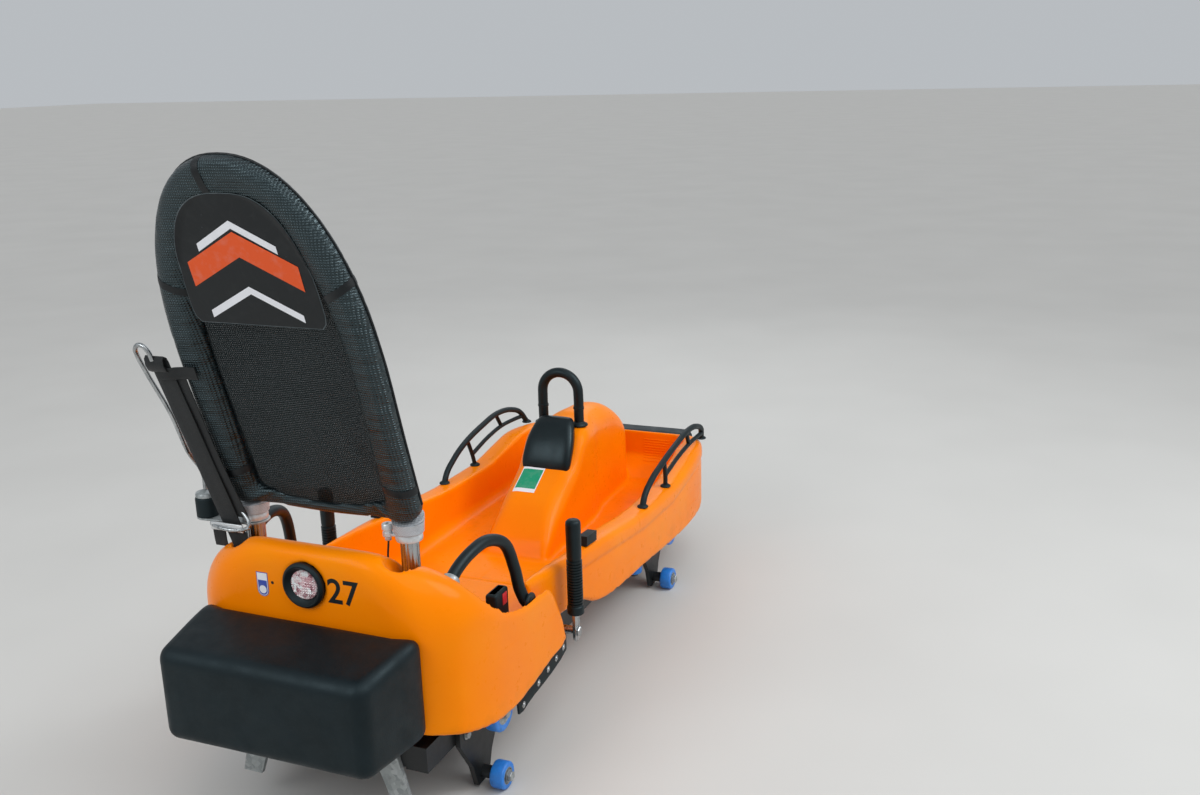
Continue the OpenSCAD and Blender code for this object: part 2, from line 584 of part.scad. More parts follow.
// Brake levers on one cross shaft
lever_x = max(shell_w, tub_w) + 4;
lever_t = 8;
module brake_shaft() color(steel) at_rail() translate([0, lever_y, lever_h])
    bar_x(lever_t / 2 - lever_x, lever_x - lever_t / 2, shaft_d);
module brake_lever(side) color(black) at_rail() on_side(side) translate([lever_x, lever_y, lever_h]) {
    hull() for (z = [-12, 90])
        translate([-lever_t / 2, 0, z]) rotate([0, 90, 0]) cylinder(h = lever_t, d = 26, $fn = 32);
    translate([0, 0, 62]) cylinder(h = grip_l, d = grip_d, $fn = 32);
    translate([0, 0, 44]) cylinder(h = 20, d = grip_d + 10, $fn = 32);
}
stop_l = 60;
stop_s = 24;
stop_y = 60 + seat_dy;
module lever_stops() color(black) at_rail() both_sides()
    translate([tub_w - 46, stop_y, rim_at(stop_y) + seat_gap])
        rotate([atan((rim_at(stop_y + stop_l) - rim_at(stop_y)) / stop_l), 0, 0]) cube([stop_s, stop_l, stop_s]);

// Block for the closed brake between two cross members
unit_w = 120;
module brake_unit() color(steel) at_rail()
    box(-unit_w, unit_w, cross_at[3] + cross_w / 2, cross_at[4] - cross_w / 2, beam_h + 2, beam_top + 10);

chassis_frame();
rear_end_plate();
carrier(1, front_wheel_y);  // carrier_fl
carrier(-1, front_wheel_y);  // carrier_fr
carrier(1, rear_wheel_y);  // carrier_rl
carrier(-1, rear_wheel_y);  // carrier_rr
wheel(1, front_wheel_y);  // wheel_fl
wheel(-1, front_wheel_y);  // wheel_fr
wheel(1, rear_wheel_y);  // wheel_rl
wheel(-1, rear_wheel_y);  // wheel_rr
under_roller(1, front_wheel_y);  // under_roller_fl
under_roller(-1, front_wheel_y);  // under_roller_fr
under_roller(1, rear_wheel_y);  // under_roller_rl
under_roller(-1, rear_wheel_y);  // under_roller_rr
side_roller(1, front_wheel_y + side_step);  // side_roller_fl
side_roller(-1, front_wheel_y + side_step);  // side_roller_fr
side_roller(1, rear_wheel_y - side_step);  // side_roller_rl
side_roller(-1, rear_wheel_y - side_step);  // side_roller_rr
rear_shell();
front_tub();
seat_pad();
sill_guards();
rear_bumper();
front_bumper();
lamp_bezel();
lamp_lens();
seat_posts();
post_collars();
back_roll();
back_mesh();
belt_bracket();
belt_reel();
belt_crook();
belt_webbing();
belt_buckle();
hip_tubes();
hoop_handle();
handle_boot();
side_guard(1);  // side_guard_l
side_guard(-1);  // side_guard_r
brake_shaft();
brake_lever(1);  // brake_lever_l
brake_lever(-1);  // brake_lever_r
lever_stops();
brake_unit();
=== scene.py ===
import json
import math
import bpy
import bmesh
from mathutils import Matrix, Vector, noise


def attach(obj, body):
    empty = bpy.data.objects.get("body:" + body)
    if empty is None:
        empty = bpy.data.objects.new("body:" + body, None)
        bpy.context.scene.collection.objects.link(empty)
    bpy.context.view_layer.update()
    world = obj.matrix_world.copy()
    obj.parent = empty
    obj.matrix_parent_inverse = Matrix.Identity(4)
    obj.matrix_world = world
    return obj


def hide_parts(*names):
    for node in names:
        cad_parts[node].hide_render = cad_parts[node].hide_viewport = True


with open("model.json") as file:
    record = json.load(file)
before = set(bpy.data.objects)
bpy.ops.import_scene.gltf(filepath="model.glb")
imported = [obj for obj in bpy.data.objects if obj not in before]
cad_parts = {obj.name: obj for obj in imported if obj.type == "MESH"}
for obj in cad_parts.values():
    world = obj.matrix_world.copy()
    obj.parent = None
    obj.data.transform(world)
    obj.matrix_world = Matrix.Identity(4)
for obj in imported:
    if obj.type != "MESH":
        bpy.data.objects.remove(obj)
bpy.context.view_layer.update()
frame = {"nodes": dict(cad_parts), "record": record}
print("frame loaded")


# Colours are written as sRGB hex and turned into the linear values that the shaders take.
def linear(hexColour):
    parts = [int(hexColour[i:i + 2], 16) / 255 for i in (1, 3, 5)]
    return tuple(c / 12.92 if c < 0.04045 else ((c + 0.055) / 1.055) ** 2.4 for c in parts) + (1.0,)


# Adds a node with its settings, links and colour stops, and gives back the output that is asked for.
def addNode(tree, kind, inputs, output=0, stops=(), **settings):
    node = tree.nodes.new("ShaderNode" + kind)
    for key, value in settings.items():
        setattr(node, key, value)
    for key, value in inputs.items():
        if isinstance(value, bpy.types.NodeSocket):
            tree.links.new(value, node.inputs[key])
        else:
            node.inputs[key].default_value = linear(value) if isinstance(value, str) else value
    if stops:
        points = node.color_ramp.elements
        while len(points) < len(stops):
            points.new(0.5)
        for point, (position, colour) in zip(points, stops):
            point.position = position
            point.color = linear(colour) if isinstance(colour, str) else (colour, colour, colour, 1.0)
    return node.outputs[output]


def newMaterial(name, **constants):
    material = bpy.data.materials.new(name)
    material.use_nodes = True
    tree = material.node_tree
    shader = tree.nodes["Principled BSDF"]
    for key, value in constants.items():
        shader.inputs[key.replace("_", " ")].default_value = value
    place = addNode(tree, "TexCoord", {}, "Object")
    return material, tree, shader, place


# Clouds, patches or specks: noise through a ramp, of plain values or of colours.
def patches(tree, place, scale, detail, roughness, stops):
    cloud = addNode(tree, "TexNoise", {"Vector": place, "Scale": scale, "Detail": detail, "Roughness": roughness})
    return addNode(tree, "ValToRGB", {"Fac": cloud}, stops=stops)


# Lays one colour over another, the more so the stronger a pattern is.
def overlay(tree, pattern, stops, under, over):
    share = addNode(tree, "ValToRGB", {"Fac": pattern}, stops=stops)
    return addNode(tree, "Mix", {0: share, 6: under, 7: over}, 2, data_type="RGBA")


# Most finishes end alike: a colour, a roughness that follows a pattern, and a relief of a depth in metres.
def finishWith(tree, shader, colour, pattern, roughness, height, strength, depth, under=None):
    relief = {"Height": height, "Strength": strength, "Distance": depth}
    if under is not None:
        relief["Normal"] = under
    rough = addNode(tree, "ValToRGB", {"Fac": pattern}, stops=roughness)
    for name, source in (("Base Color", colour), ("Roughness", rough), ("Normal", addNode(tree, "Bump", relief))):
        tree.links.new(source, shader.inputs[name])


# Two sets of threads that cross, one across and one up.
def crossedThreads(tree, place, scale, operation, distortion):
    waves = [addNode(tree, "TexWave", {"Vector": place, "Scale": scale, "Distortion": distortion, "Detail": 1.0,
                                       "Detail Scale": 2.0}, "Fac", bands_direction=way) for way in ("X", "Z")]
    return addNode(tree, "Math", {0: waves[0], 1: waves[1]}, operation=operation)


# Blacks in this place shine a little blue green, as under an open sky.
coolShine = (0.70, 0.93, 1.0, 1.0)


# Rotomoulded shell plastic: the eye gets a clean saturated orange with a soft shine,
# a faint orange peel, a little dust low down and dull hairline scratches.
def makeShellPlastic(name, colour, faded, deep):
    material, tree, shader, place = newMaterial(name, IOR=1.5, Coat_Weight=0.10, Coat_Roughness=0.14,
                                                Specular_IOR_Level=0.12, Specular_Tint=(1.0, 0.6, 0.25, 1.0))
    base = patches(tree, place, 3.0, 3.0, 0.55, [(0.3, deep), (0.52, colour), (0.75, faded)])
    height = addNode(tree, "SeparateXYZ", {"Vector": place}, "Z")
    low = addNode(tree, "MapRange", {"Value": height, "From Min": 0.27, "From Max": 0.15})
    dust = patches(tree, place, 22.0, 8.0, 0.7, [(0.5, 0.0), (0.8, 0.4)])
    grime = addNode(tree, "Math", {0: low, 1: dust}, operation="MULTIPLY")
    base = addNode(tree, "Mix", {0: grime, 6: base, 7: "#8a4c14"}, 2, data_type="RGBA")
    along = addNode(tree, "Mapping", {"Vector": place, "Scale": (1.0, 0.06, 1.0)})
    scratch = patches(tree, along, 60.0, 2.0, 0.5, [(0.62, 0.0), (0.72, 0.16)])
    rough = patches(tree, place, 35.0, 6.0, 0.65, [(0.3, 0.24), (0.7, 0.40)])
    rough = addNode(tree, "Math", {0: rough, 1: scratch}, operation="ADD")
    dull = addNode(tree, "Math", {0: grime, 1: 0.3}, operation="MULTIPLY")
    rough = addNode(tree, "Math", {0: rough, 1: dull}, operation="ADD", use_clamp=True)
    peel = addNode(tree, "TexNoise", {"Vector": place, "Scale": 260.0, "Detail": 2.0, "Roughness": 0.55})
    relief = addNode(tree, "Bump", {"Height": peel, "Strength": 0.05, "Distance": 0.001})
    for socket, source in (("Base Color", base), ("Roughness", rough), ("Normal", relief)):
        tree.links.new(source, shader.inputs[socket])
    return material


# Skinned foam: nearly black with a cool sheen, a shallow dimpled skin and pale rubbed spots.
def makeFoam(name):
    material, tree, shader, place = newMaterial(name, IOR=1.46, Specular_IOR_Level=0.34, Specular_Tint=coolShine)
    rub = patches(tree, place, 9.0, 6.0, 0.6, [(0.35, "#0a1013"), (0.6, "#0e161a"), (0.8, "#172125")])
    speck = patches(tree, place, 320.0, 2.0, 0.55, [(0.62, 0.0), (0.74, 0.5)])
    colour = addNode(tree, "Mix", {0: speck, 6: rub, 7: "#1c2629"}, 2, data_type="RGBA")
    worn = addNode(tree, "TexNoise", {"Vector": place, "Scale": 26.0, "Detail": 5.0, "Roughness": 0.55})
    cells = addNode(tree, "TexVoronoi", {"Vector": place, "Scale": 420.0})
    finishWith(tree, shader, colour, worn, [(0.3, 0.40), (0.7, 0.58)], cells, 0.22, 0.0006)
    return material


# Coarse woven vinyl: raised squares of coated thread catch the light one by one, and are painted lighter than the
# gaps between them, a painted highlight. The real weave is about 1.5 mm; it is drawn at 4.8 mm so that it shows,
# with creases that run across the roll.
def makeWeave(name, dark, light):
    material, tree, shader, place = newMaterial(name, IOR=1.5, Specular_IOR_Level=0.8, Specular_Tint=coolShine)
    weaveAndHighlight = crossedThreads(tree, place, 66.0, "MULTIPLY", 0.5)
    fade = addNode(tree, "TexNoise", {"Vector": place, "Scale": 14.0, "Detail": 5.0, "Roughness": 0.55})
    # painted highlight: the raised squares of the weave are painted lighter and the gaps between them darker
    colour = overlay(tree, weaveAndHighlight, [(0.1, 0.0), (0.7, 1.0)], dark, light)
    colour = overlay(tree, fade, [(0.5, 0.0), (0.8, 0.2)], colour, light)
    across = addNode(tree, "Mapping", {"Vector": place, "Scale": (0.4, 0.8, 2.2)})
    creases = addNode(tree, "TexNoise", {"Vector": across, "Scale": 24.0, "Detail": 3.0, "Roughness": 0.5})
    folds = addNode(tree, "Bump", {"Height": creases, "Strength": 0.75, "Distance": 0.009})
    finishWith(tree, shader, colour, fade, [(0.3, 0.24), (0.7, 0.40)], weaveAndHighlight, 0.9, 0.0016, folds)
    return material


# Open mesh: dark threads, closer together across than up, with holes that let a little of the far side through.
# The real holes are about 1 mm; they are drawn 4 mm apart so that they show.
def makeMesh(name, dark, light):
    material, tree, shader, place = newMaterial(name, IOR=1.45, Specular_IOR_Level=0.3, Specular_Tint=coolShine)
    threads = crossedThreads(tree, place, 78.0, "MAXIMUM", 0.9)
    rows = addNode(tree, "TexWave", {"Vector": place, "Scale": 60.0, "Distortion": 1.6, "Detail": 2.0}, "Fac",
                   bands_direction="Z")
    colour = overlay(tree, rows, [(0.5, 0.0), (0.95, 0.8)], dark, light)
    slack = addNode(tree, "TexNoise", {"Vector": place, "Scale": 7.0, "Detail": 3.0, "Roughness": 0.55})
    closed = addNode(tree, "ValToRGB", {"Fac": threads}, stops=[(0.35, 0.42), (0.8, 0.97)])
    tree.links.new(closed, shader.inputs["Alpha"])
    waves = addNode(tree, "Bump", {"Height": slack, "Strength": 0.3, "Distance": 0.01})
    finishWith(tree, shader, colour, slack, [(0.3, 0.48), (0.7, 0.66)], threads, 0.4, 0.0008, waves)
    return material


# Hot dip zinc: soft crystal patches of slightly different greys and a dull, uneven shine.
def makeZinc(name, dark, light, roughLow, roughHigh):
    material, tree, shader, place = newMaterial(name, Metallic=0.6)
    spangle = addNode(tree, "TexVoronoi", {"Vector": place, "Scale": 95.0}, "Color")
    patch = addNode(tree, "SeparateXYZ", {"Vector": spangle}, "X")
    stain = addNode(tree, "TexNoise", {"Vector": place, "Scale": 30.0, "Detail": 6.0, "Roughness": 0.65})
    colour = overlay(tree, patch, [(0.0, 0.0), (1.0, 1.0)], dark, light)
    colour = overlay(tree, stain, [(0.55, 0.0), (0.8, 0.55)], colour, "#5d5c57")
    finishWith(tree, shader, colour, stain, [(0.3, roughLow), (0.75, roughHigh)], stain, 0.12, 0.0006)
    return material


# Painted steel: satin black with a fine powder texture, dust in soft patches and small chips to bare metal.
def makePaintedSteel(name, paint, dust):
    material, tree, shader, place = newMaterial(name, IOR=1.5)
    patchy = addNode(tree, "TexNoise", {"Vector": place, "Scale": 11.0, "Detail": 7.0, "Roughness": 0.65})
    colour = overlay(tree, patchy, [(0.5, 0.0), (0.85, 0.6)], paint, dust)
    chip = patches(tree, place, 75.0, 4.0, 0.6, [(0.745, 0.0), (0.76, 1.0)])
    colour = addNode(tree, "Mix", {0: chip, 6: colour, 7: "#7c7f80"}, 2, data_type="RGBA")
    tree.links.new(addNode(tree, "Math", {0: chip, 1: 0.85}, operation="MULTIPLY"), shader.inputs["Metallic"])
    powder = addNode(tree, "TexNoise", {"Vector": place, "Scale": 520.0, "Detail": 2.0, "Roughness": 0.55})
    grain = addNode(tree, "Bump", {"Height": powder, "Strength": 0.15, "Distance": 0.0005})
    finishWith(tree, shader, colour, patchy, [(0.3, 0.36), (0.75, 0.62)], chip, -0.3, 0.0004, grain)
    return material


# Moulded black plastic or rubber: fine grain, hand polish in places and a little grey dust.
def makeBlackPolymer(name, base, dust, roughLow, roughHigh, grainScale, grainDepth):
    material, tree, shader, place = newMaterial(name, IOR=1.48, Specular_IOR_Level=0.4, Specular_Tint=coolShine)
    worn = addNode(tree, "TexNoise", {"Vector": place, "Scale": 18.0, "Detail": 6.0, "Roughness": 0.6})
    grain = addNode(tree, "TexNoise", {"Vector": place, "Scale": grainScale, "Detail": 3.0, "Roughness": 0.6})
    colour = overlay(tree, worn, [(0.48, 0.0), (0.85, 0.55)], base, dust)
    finishWith(tree, shader, colour, worn, [(0.3, roughLow), (0.72, roughHigh)], grain, 0.28, grainDepth)
    return material


# Drawn steel rod and fittings: bright with fine lines along the part and a few brown spots.
def makeBrightSteel(name):
    material, tree, shader, place = newMaterial(name, Metallic=1.0, Anisotropic=0.3)
    along = addNode(tree, "Mapping", {"Vector": place, "Scale": (1.0, 1.0, 0.08)})
    lines = addNode(tree, "TexNoise", {"Vector": along, "Scale": 160.0, "Detail": 3.0, "Roughness": 0.6})
    bright = addNode(tree, "ValToRGB", {"Fac": lines}, stops=[(0.3, "#8d9092"), (0.6, "#b9bcbd"), (0.8, "#cfd1d1")])
    spots = patches(tree, place, 60.0, 5.0, 0.7, [(0.68, 0.0), (0.78, 0.6)])
    colour = addNode(tree, "Mix", {0: spots, 6: bright, 7: "#6d5340"}, 2, data_type="RGBA")
    finishWith(tree, shader, colour, lines, [(0.3, 0.20), (0.75, 0.38)], lines, 0.08, 0.0003)
    return material


# Cast polyurethane tyre: clear blue body, darker dirt on the running face and tiny nicks.
def makeTyre(name):
    material, tree, shader, place = newMaterial(name, IOR=1.5, Subsurface_Weight=0.08,
                                                Subsurface_Radius=(0.002, 0.004, 0.008))
    dirt = addNode(tree, "TexNoise", {"Vector": place, "Scale": 55.0, "Detail": 7.0, "Roughness": 0.7})
    colour = addNode(tree, "ValToRGB", {"Fac": dirt}, stops=[(0.35, "#2f86e0"), (0.6, "#2877cc"), (0.8, "#31506c")])
    finishWith(tree, shader, colour, dirt, [(0.3, 0.28), (0.75, 0.55)], dirt, 0.2, 0.0006)
    return material


# Webbing: tight ribs 2.5 mm apart across the strap and slightly frayed, lighter threads.
def makeWebbing(name):
    material, tree, shader, place = newMaterial(name, IOR=1.45, Sheen_Weight=0.2, Sheen_Roughness=0.4)
    ribs = addNode(tree, "TexWave", {"Vector": place, "Scale": 125.0, "Distortion": 0.3}, "Fac", bands_direction="Z")
    along = addNode(tree, "Mapping", {"Vector": place, "Scale": (1.0, 1.0, 0.3)})
    threads = addNode(tree, "TexNoise", {"Vector": along, "Scale": 700.0, "Detail": 2.0, "Roughness": 0.5})
    colour = overlay(tree, ribs, [(0.2, 0.0), (0.9, 0.7)], "#080b0c", "#14191b")
    colour = overlay(tree, threads, [(0.6, 0.0), (0.8, 0.4)], colour, "#23292b")
    height = addNode(tree, "Math", {0: ribs, 1: threads}, operation="ADD")
    finishWith(tree, shader, colour, threads, [(0.3, 0.55), (0.8, 0.78)], height, 0.35, 0.0006)
    return material


# Lamp lens: a clear, faintly pink acrylic over small facets. Its cells are painted from dark rose to white,
# painted glints that make it sparkle white and rose.
def makeLens(name):
    material, tree, shader, place = newMaterial(name, IOR=1.49, Transmission_Weight=0.25, Coat_Weight=0.6,
                                                Coat_Roughness=0.03)
    cells = addNode(tree, "TexVoronoi", {"Vector": place, "Scale": 150.0}, "Color")
    facetsAndGlints = addNode(tree, "SeparateXYZ", {"Vector": cells}, "X")
    # painted glints: each facet cell gets a colour from dark rose to white, in place of the light it catches
    colour = addNode(tree, "ValToRGB", {"Fac": facetsAndGlints},
                     stops=[(0.1, "#a86a72"), (0.35, "#e9b7bd"), (0.6, "#f6dfe0"), (0.85, "#ffffff")])
    finishWith(tree, shader, colour, facetsAndGlints, [(0.0, 0.05), (1.0, 0.22)], facetsAndGlints, 0.8, 0.003)
    return material


# Clamp collar: cast alloy with a crossed knurl at about 1.6 mm that breaks the shine into small points;
# the knurl's points are painted near white and its grooves darker, a painted highlight and painted shade.
def makeKnurl(name):
    material, tree, shader, place = newMaterial(name, Metallic=0.35)
    mirrored = addNode(tree, "Mapping", {"Vector": place, "Scale": (-1.0, -1.0, 1.0)})
    cuts = [addNode(tree, "TexWave", {"Vector": way, "Scale": 190.0}, "Fac", bands_direction="DIAGONAL")
            for way in (place, mirrored)]
    knurlAndGlints = addNode(tree, "Math", {0: cuts[0], 1: cuts[1]}, operation="MULTIPLY")
    stain = addNode(tree, "TexNoise", {"Vector": place, "Scale": 40.0, "Detail": 6.0, "Roughness": 0.65})
    # painted highlight and shade: the knurl's points are painted near white, its grooves grey
    colour = overlay(tree, knurlAndGlints, [(0.1, 0.0), (0.7, 1.0)], "#9ea3a8", "#f0f3f6")
    colour = overlay(tree, stain, [(0.55, 0.0), (0.8, 0.5)], colour, "#55524c")
    finishWith(tree, shader, colour, stain, [(0.3, 0.32), (0.75, 0.5)], knurlAndGlints, 0.5, 0.0008)
    return material


# Printed film and dyed plastic: an even colour with faint fading, fine grain and small rubbed spots.
def makeInk(name, colour, rough, fade=0.18):
    material, tree, shader, place = newMaterial(name, IOR=1.46, Specular_IOR_Level=0.4)
    faded = addNode(tree, "TexNoise", {"Vector": place, "Scale": 45.0, "Detail": 5.0, "Roughness": 0.6})
    grain = addNode(tree, "TexNoise", {"Vector": place, "Scale": 380.0, "Detail": 2.0, "Roughness": 0.55})
    pale = addNode(tree, "Mix", {0: fade, 6: colour, 7: "#b9b9b6"}, 2, data_type="RGBA")
    worn = overlay(tree, faded, [(0.5, 0.0), (0.8, 1.0)], colour, pale)
    finishWith(tree, shader, worn, faded, [(0.3, rough), (0.75, rough + 0.16)], grain, 0.08, 0.0003)
    return material


materials = {
    "orange_shell": makeShellPlastic("orangeShellPlastic", "#ff8700", "#ff9008", "#fb7e00"),
    "black_steel": makePaintedSteel("satinBlackSteel", "#0c1012", "#25292a"),
    "galvanised": makeZinc("dullZinc", "#8f9494", "#b4b8b8", 0.34, 0.56),
    "bright_steel": makeBrightSteel("drawnSteel"),
    "bumper_foam": makeFoam("skinnedFoam"),
    "seat_vinyl": makeBlackPolymer("seatVinyl", "#0b1012", "#182023", 0.38, 0.58, 190.0, 0.0009),
    "back_vinyl": makeWeave("wovenVinyl", "#04080a", "#101a1e"),
    "back_mesh": makeMesh("openMesh", "#080d0f", "#172023"),
    "webbing": makeWebbing("flatWebbing"),
    "black_plastic": makeBlackPolymer("blackPlastic", "#0c1113", "#1e2628", 0.46, 0.66, 420.0, 0.0005),
    "handle_grip": makeBlackPolymer("gripRubber", "#0a0f11", "#1a2225", 0.34, 0.54, 300.0, 0.0006),
    "lamp_glass": makeLens("lampLens"),
    "blue_tyre": makeTyre("blueTyre"),
    "castAlloy": makeZinc("castAlloy", "#cfd1d2", "#dedfdf", 0.30, 0.44),
    "knurledAlloy": makeKnurl("knurledAlloy"),
    "bootRubber": makeBlackPolymer("bootRubber", "#0a0f11", "#151c1f", 0.26, 0.42, 240.0, 0.0005),
    "redKey": makeInk("redKey", "#c4262b", 0.35),
    "labelWhite": makeInk("labelWhite", "#e6e6ea", 0.42),
    "labelBlue": makeInk("labelBlue", "#3a4ea8", 0.42),
    "labelGreen": makeInk("labelGreen", "#12926a", 0.40),
    "labelGrey": makeInk("labelGrey", "#545d61", 0.5),
    "labelOrange": makeInk("labelOrange", "#e2551f", 0.5),
    "badgeVinyl": makeInk("badgeVinyl", "#0c1114", 0.36, 0.02),
}
for part in frame["record"]["subparts"]:
    for holder in frame["nodes"][part["node"]].material_slots:
        holder.material = materials[part["material_slot"]]
print("materials made")

# The camera stands where the photograph was taken: a 36 mm lens on a sensor of the same width.
camera = {"at": (-1.372, 2.570, 1.470), "yaw": 22.7, "pitch": 15.4, "roll": -1.54, "lens": 36.0, "sensor": 36.0}


def placeCamera(spec):
    yaw, pitch, roll = (math.radians(spec[k]) for k in ("yaw", "pitch", "roll"))
    ahead = Vector((math.sin(yaw) * math.cos(pitch), -math.cos(yaw) * math.cos(pitch), -math.sin(pitch)))
    right = ahead.cross(Vector((0, 0, 1))).normalized()
    up = right.cross(ahead)
    across = right * math.cos(roll) + up * math.sin(roll)
    upright = up * math.cos(roll) - right * math.sin(roll)
    data = bpy.data.cameras.new("photoCamera")
    data.lens, data.sensor_width, data.sensor_fit = spec["lens"], spec["sensor"], "HORIZONTAL"
    data.clip_start, data.clip_end = 0.05, 200.0
    holder = bpy.data.objects.new("photoCamera", data)
    bpy.context.scene.collection.objects.link(holder)
    turn = Matrix((across, upright, -ahead)).transposed()
    holder.matrix_world = Matrix.Translation(Vector(spec["at"])) @ turn.to_4x4()
    bpy.context.scene.camera = holder


placeCamera(camera)
bpy.context.scene.view_settings.view_transform = "Standard"  # shows the plastic as saturated as its own colour

# Studio: each lamp has a name, its place, the point that it is aimed at, its size in metres and its power in watts.
studio = {"floor": ("#c9c7c3", "#cdcbc7"), "floorHalf": 60.0, "sky": "#e4e9ee", "skyStrength": 0.62,
          "sunTurn": (-14.0, -34.0), "sunStrength": 0.9, "sunSoftness": 50, "lampColour": (0.94, 0.975, 1.0),
          "lamps": [("key", (-2.7, -0.5, 2.7), (0.0, 0.1, 0.4), 1.8, 44.0),
                    ("fill", (1.2, 3.4, 2.7), (0.0, 0.5, 0.5), 2.2, 44.0),
                    ("front", (0.6, -3.2, 2.6), (0.0, -0.2, 0.4), 2.4, 16.0)]}


def makeStudio(spec):
    mesh = bpy.data.meshes.new("floor")
    bm = bmesh.new()
    bmesh.ops.create_grid(bm, x_segments=1, y_segments=1, size=spec["floorHalf"])
    bm.to_mesh(mesh)
    bm.free()
    floor = bpy.data.objects.new("floor", mesh)
    bpy.context.scene.collection.objects.link(floor)
    material, tree, shader, place = newMaterial("floorPaint", Roughness=0.85)
    mottle = patches(tree, place, 1.5, 2.0, 0.55, list(zip((0.3, 0.7), spec["floor"])))
    tree.links.new(mottle, shader.inputs["Base Color"])
    mesh.materials.append(material)
    world = bpy.data.worlds.new("softSky")
    bpy.context.scene.world = world
    world.use_nodes = True
    back = world.node_tree.nodes["Background"]
    back.inputs["Color"].default_value = linear(spec["sky"])
    back.inputs["Strength"].default_value = spec["skyStrength"]
    sun = bpy.data.lights.new("softSun", "SUN")
    sun.energy, sun.angle = spec["sunStrength"], math.radians(spec["sunSoftness"])
    holder = bpy.data.objects.new("softSun", sun)
    bpy.context.scene.collection.objects.link(holder)
    holder.rotation_euler = [math.radians(a) for a in spec["sunTurn"]] + [0]
    for name, at, aim, size, power in spec["lamps"]:
        data = bpy.data.lights.new(name, "AREA")
        data.shape, data.size, data.energy, data.color = "DISK", size, power, spec["lampColour"]
        lamp = bpy.data.objects.new(name, data)
        bpy.context.scene.collection.objects.link(lamp)
        lamp.location = at
        lamp.rotation_euler = (Vector(aim) - Vector(at)).to_track_quat("-Z", "Y").to_euler()


makeStudio(studio)
print("camera and studio made")


# Shapes are worked out in millimetres and go into the meshes in metres.
def mm(x, y, z):
    return Vector((x, y, z)) / 1000


# Angles of a full turn in equal steps.
def fullTurn(count):
    return [2 * math.pi * k / count for k in range(count)]


# A cosine or sine raised to a power with its sign kept: a power below 1 makes a round outline fuller.
def fuller(value, power):
    return math.copysign(abs(value) ** power, value)


def looseObject(name, bm):
    mesh = bpy.data.meshes.new(name)
    bm.to_mesh(mesh)
    bm.free()
    thing = bpy.data.objects.new(name, mesh)
    bpy.context.scene.collection.objects.link(thing)
    return thing


# Live modifiers become plain mesh, so the piece is final as it stands.
def bakeModifiers(thing):
    view = bpy.context.evaluated_depsgraph_get()
    view.update()
    mesh = bpy.data.meshes.new_from_object(thing.evaluated_get(view))
    thing.modifiers.clear()
    thing.data = mesh
    return thing


def dress(thing, body, slot, sharp=40, replaced=(), material=None):
    thing.data.materials.clear()
    thing.data.materials.append(material or materials[slot])
    thing.data.shade_smooth()
    if sharp:
        thing.data.set_sharp_from_angle(angle=math.radians(sharp))
    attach(thing, body)
    if replaced:
        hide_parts(*replaced)
    return thing


def addPiece(name, bm, body, slot, sharp=40, replaced=(), material=None):
    bmesh.ops.recalc_face_normals(bm, faces=bm.faces)
    return dress(looseObject(name, bm), body, slot, sharp, replaced, material)


# A smooth course through a few rows of numbers, as many steps as asked between each two. A steady course never
# swings past its rows, as a moulded shell doesn't; a free one bends on like a tube.
def smoothRows(rows, steps, steady=True):
    rows = [Vector(row) for row in rows]
    spans = [max((b - a).length, 1e-6) for a, b in zip(rows, rows[1:])]
    slopes = [(b - a) / s for a, b, s in zip(rows, rows[1:], spans)]
    tangents = [slopes[0]]
    for before, after, s0, s1 in zip(slopes, slopes[1:], spans, spans[1:]):
        bend = (before * s1 + after * s0) / (s0 + s1)
        if steady:
            w0, w1 = 2 * s1 + s0, s1 + 2 * s0
            bend = Vector([(w0 + w1) / (w0 / m + w1 / n) if m * n > 0 else 0.0 for m, n in zip(before, after)])
        tangents.append(bend)
    tangents.append(slopes[-1])
    course = []
    for i, span in enumerate(spans):
        for k in range(steps):
            t = k / steps
            course.append(rows[i] * (2 * t ** 3 - 3 * t ** 2 + 1) + tangents[i] * (span * (t ** 3 - 2 * t ** 2 + t))
                          + rows[i + 1] * (3 * t ** 2 - 2 * t ** 3) + tangents[i + 1] * (span * (t ** 3 - t ** 2)))
    return course + [rows[-1]]


# A first face whose corners lie on the given points; it is then extruded or divided.
def startFace(bm, points):
    face = bmesh.ops.create_circle(bm, cap_ends=True, segments=len(points), radius=1)["verts"][0].link_faces[0]
    for loop, point in zip(face.loops, points):
        loop.vert.co = point
    return face


# A form grown ring by ring: the end face is extruded and laid on the next ring.
def growForm(bm, rings, closed=False):
    face = startFace(bm, rings[0])
    start = list(face.verts)
    if not closed:
        bmesh.ops.duplicate(bm, geom=[face])
    for ring in rings[1:]:
        face = bmesh.ops.extrude_discrete_faces(bm, faces=[face])["faces"][0]
        for loop, point in zip(face.loops, ring):
            loop.vert.co = point
    if closed:
        ends = [list(face.edges), [e for e in bm.edges if e.verts[0] in start and e.verts[1] in start]]
        bmesh.ops.delete(bm, geom=[face], context="FACES_ONLY")
        bmesh.ops.bridge_loops(bm, edges=ends[0] + ends[1])
    else:
        bmesh.ops.remove_doubles(bm, verts=bm.verts, dist=1e-7)
    bmesh.ops.recalc_face_normals(bm, faces=bm.faces)


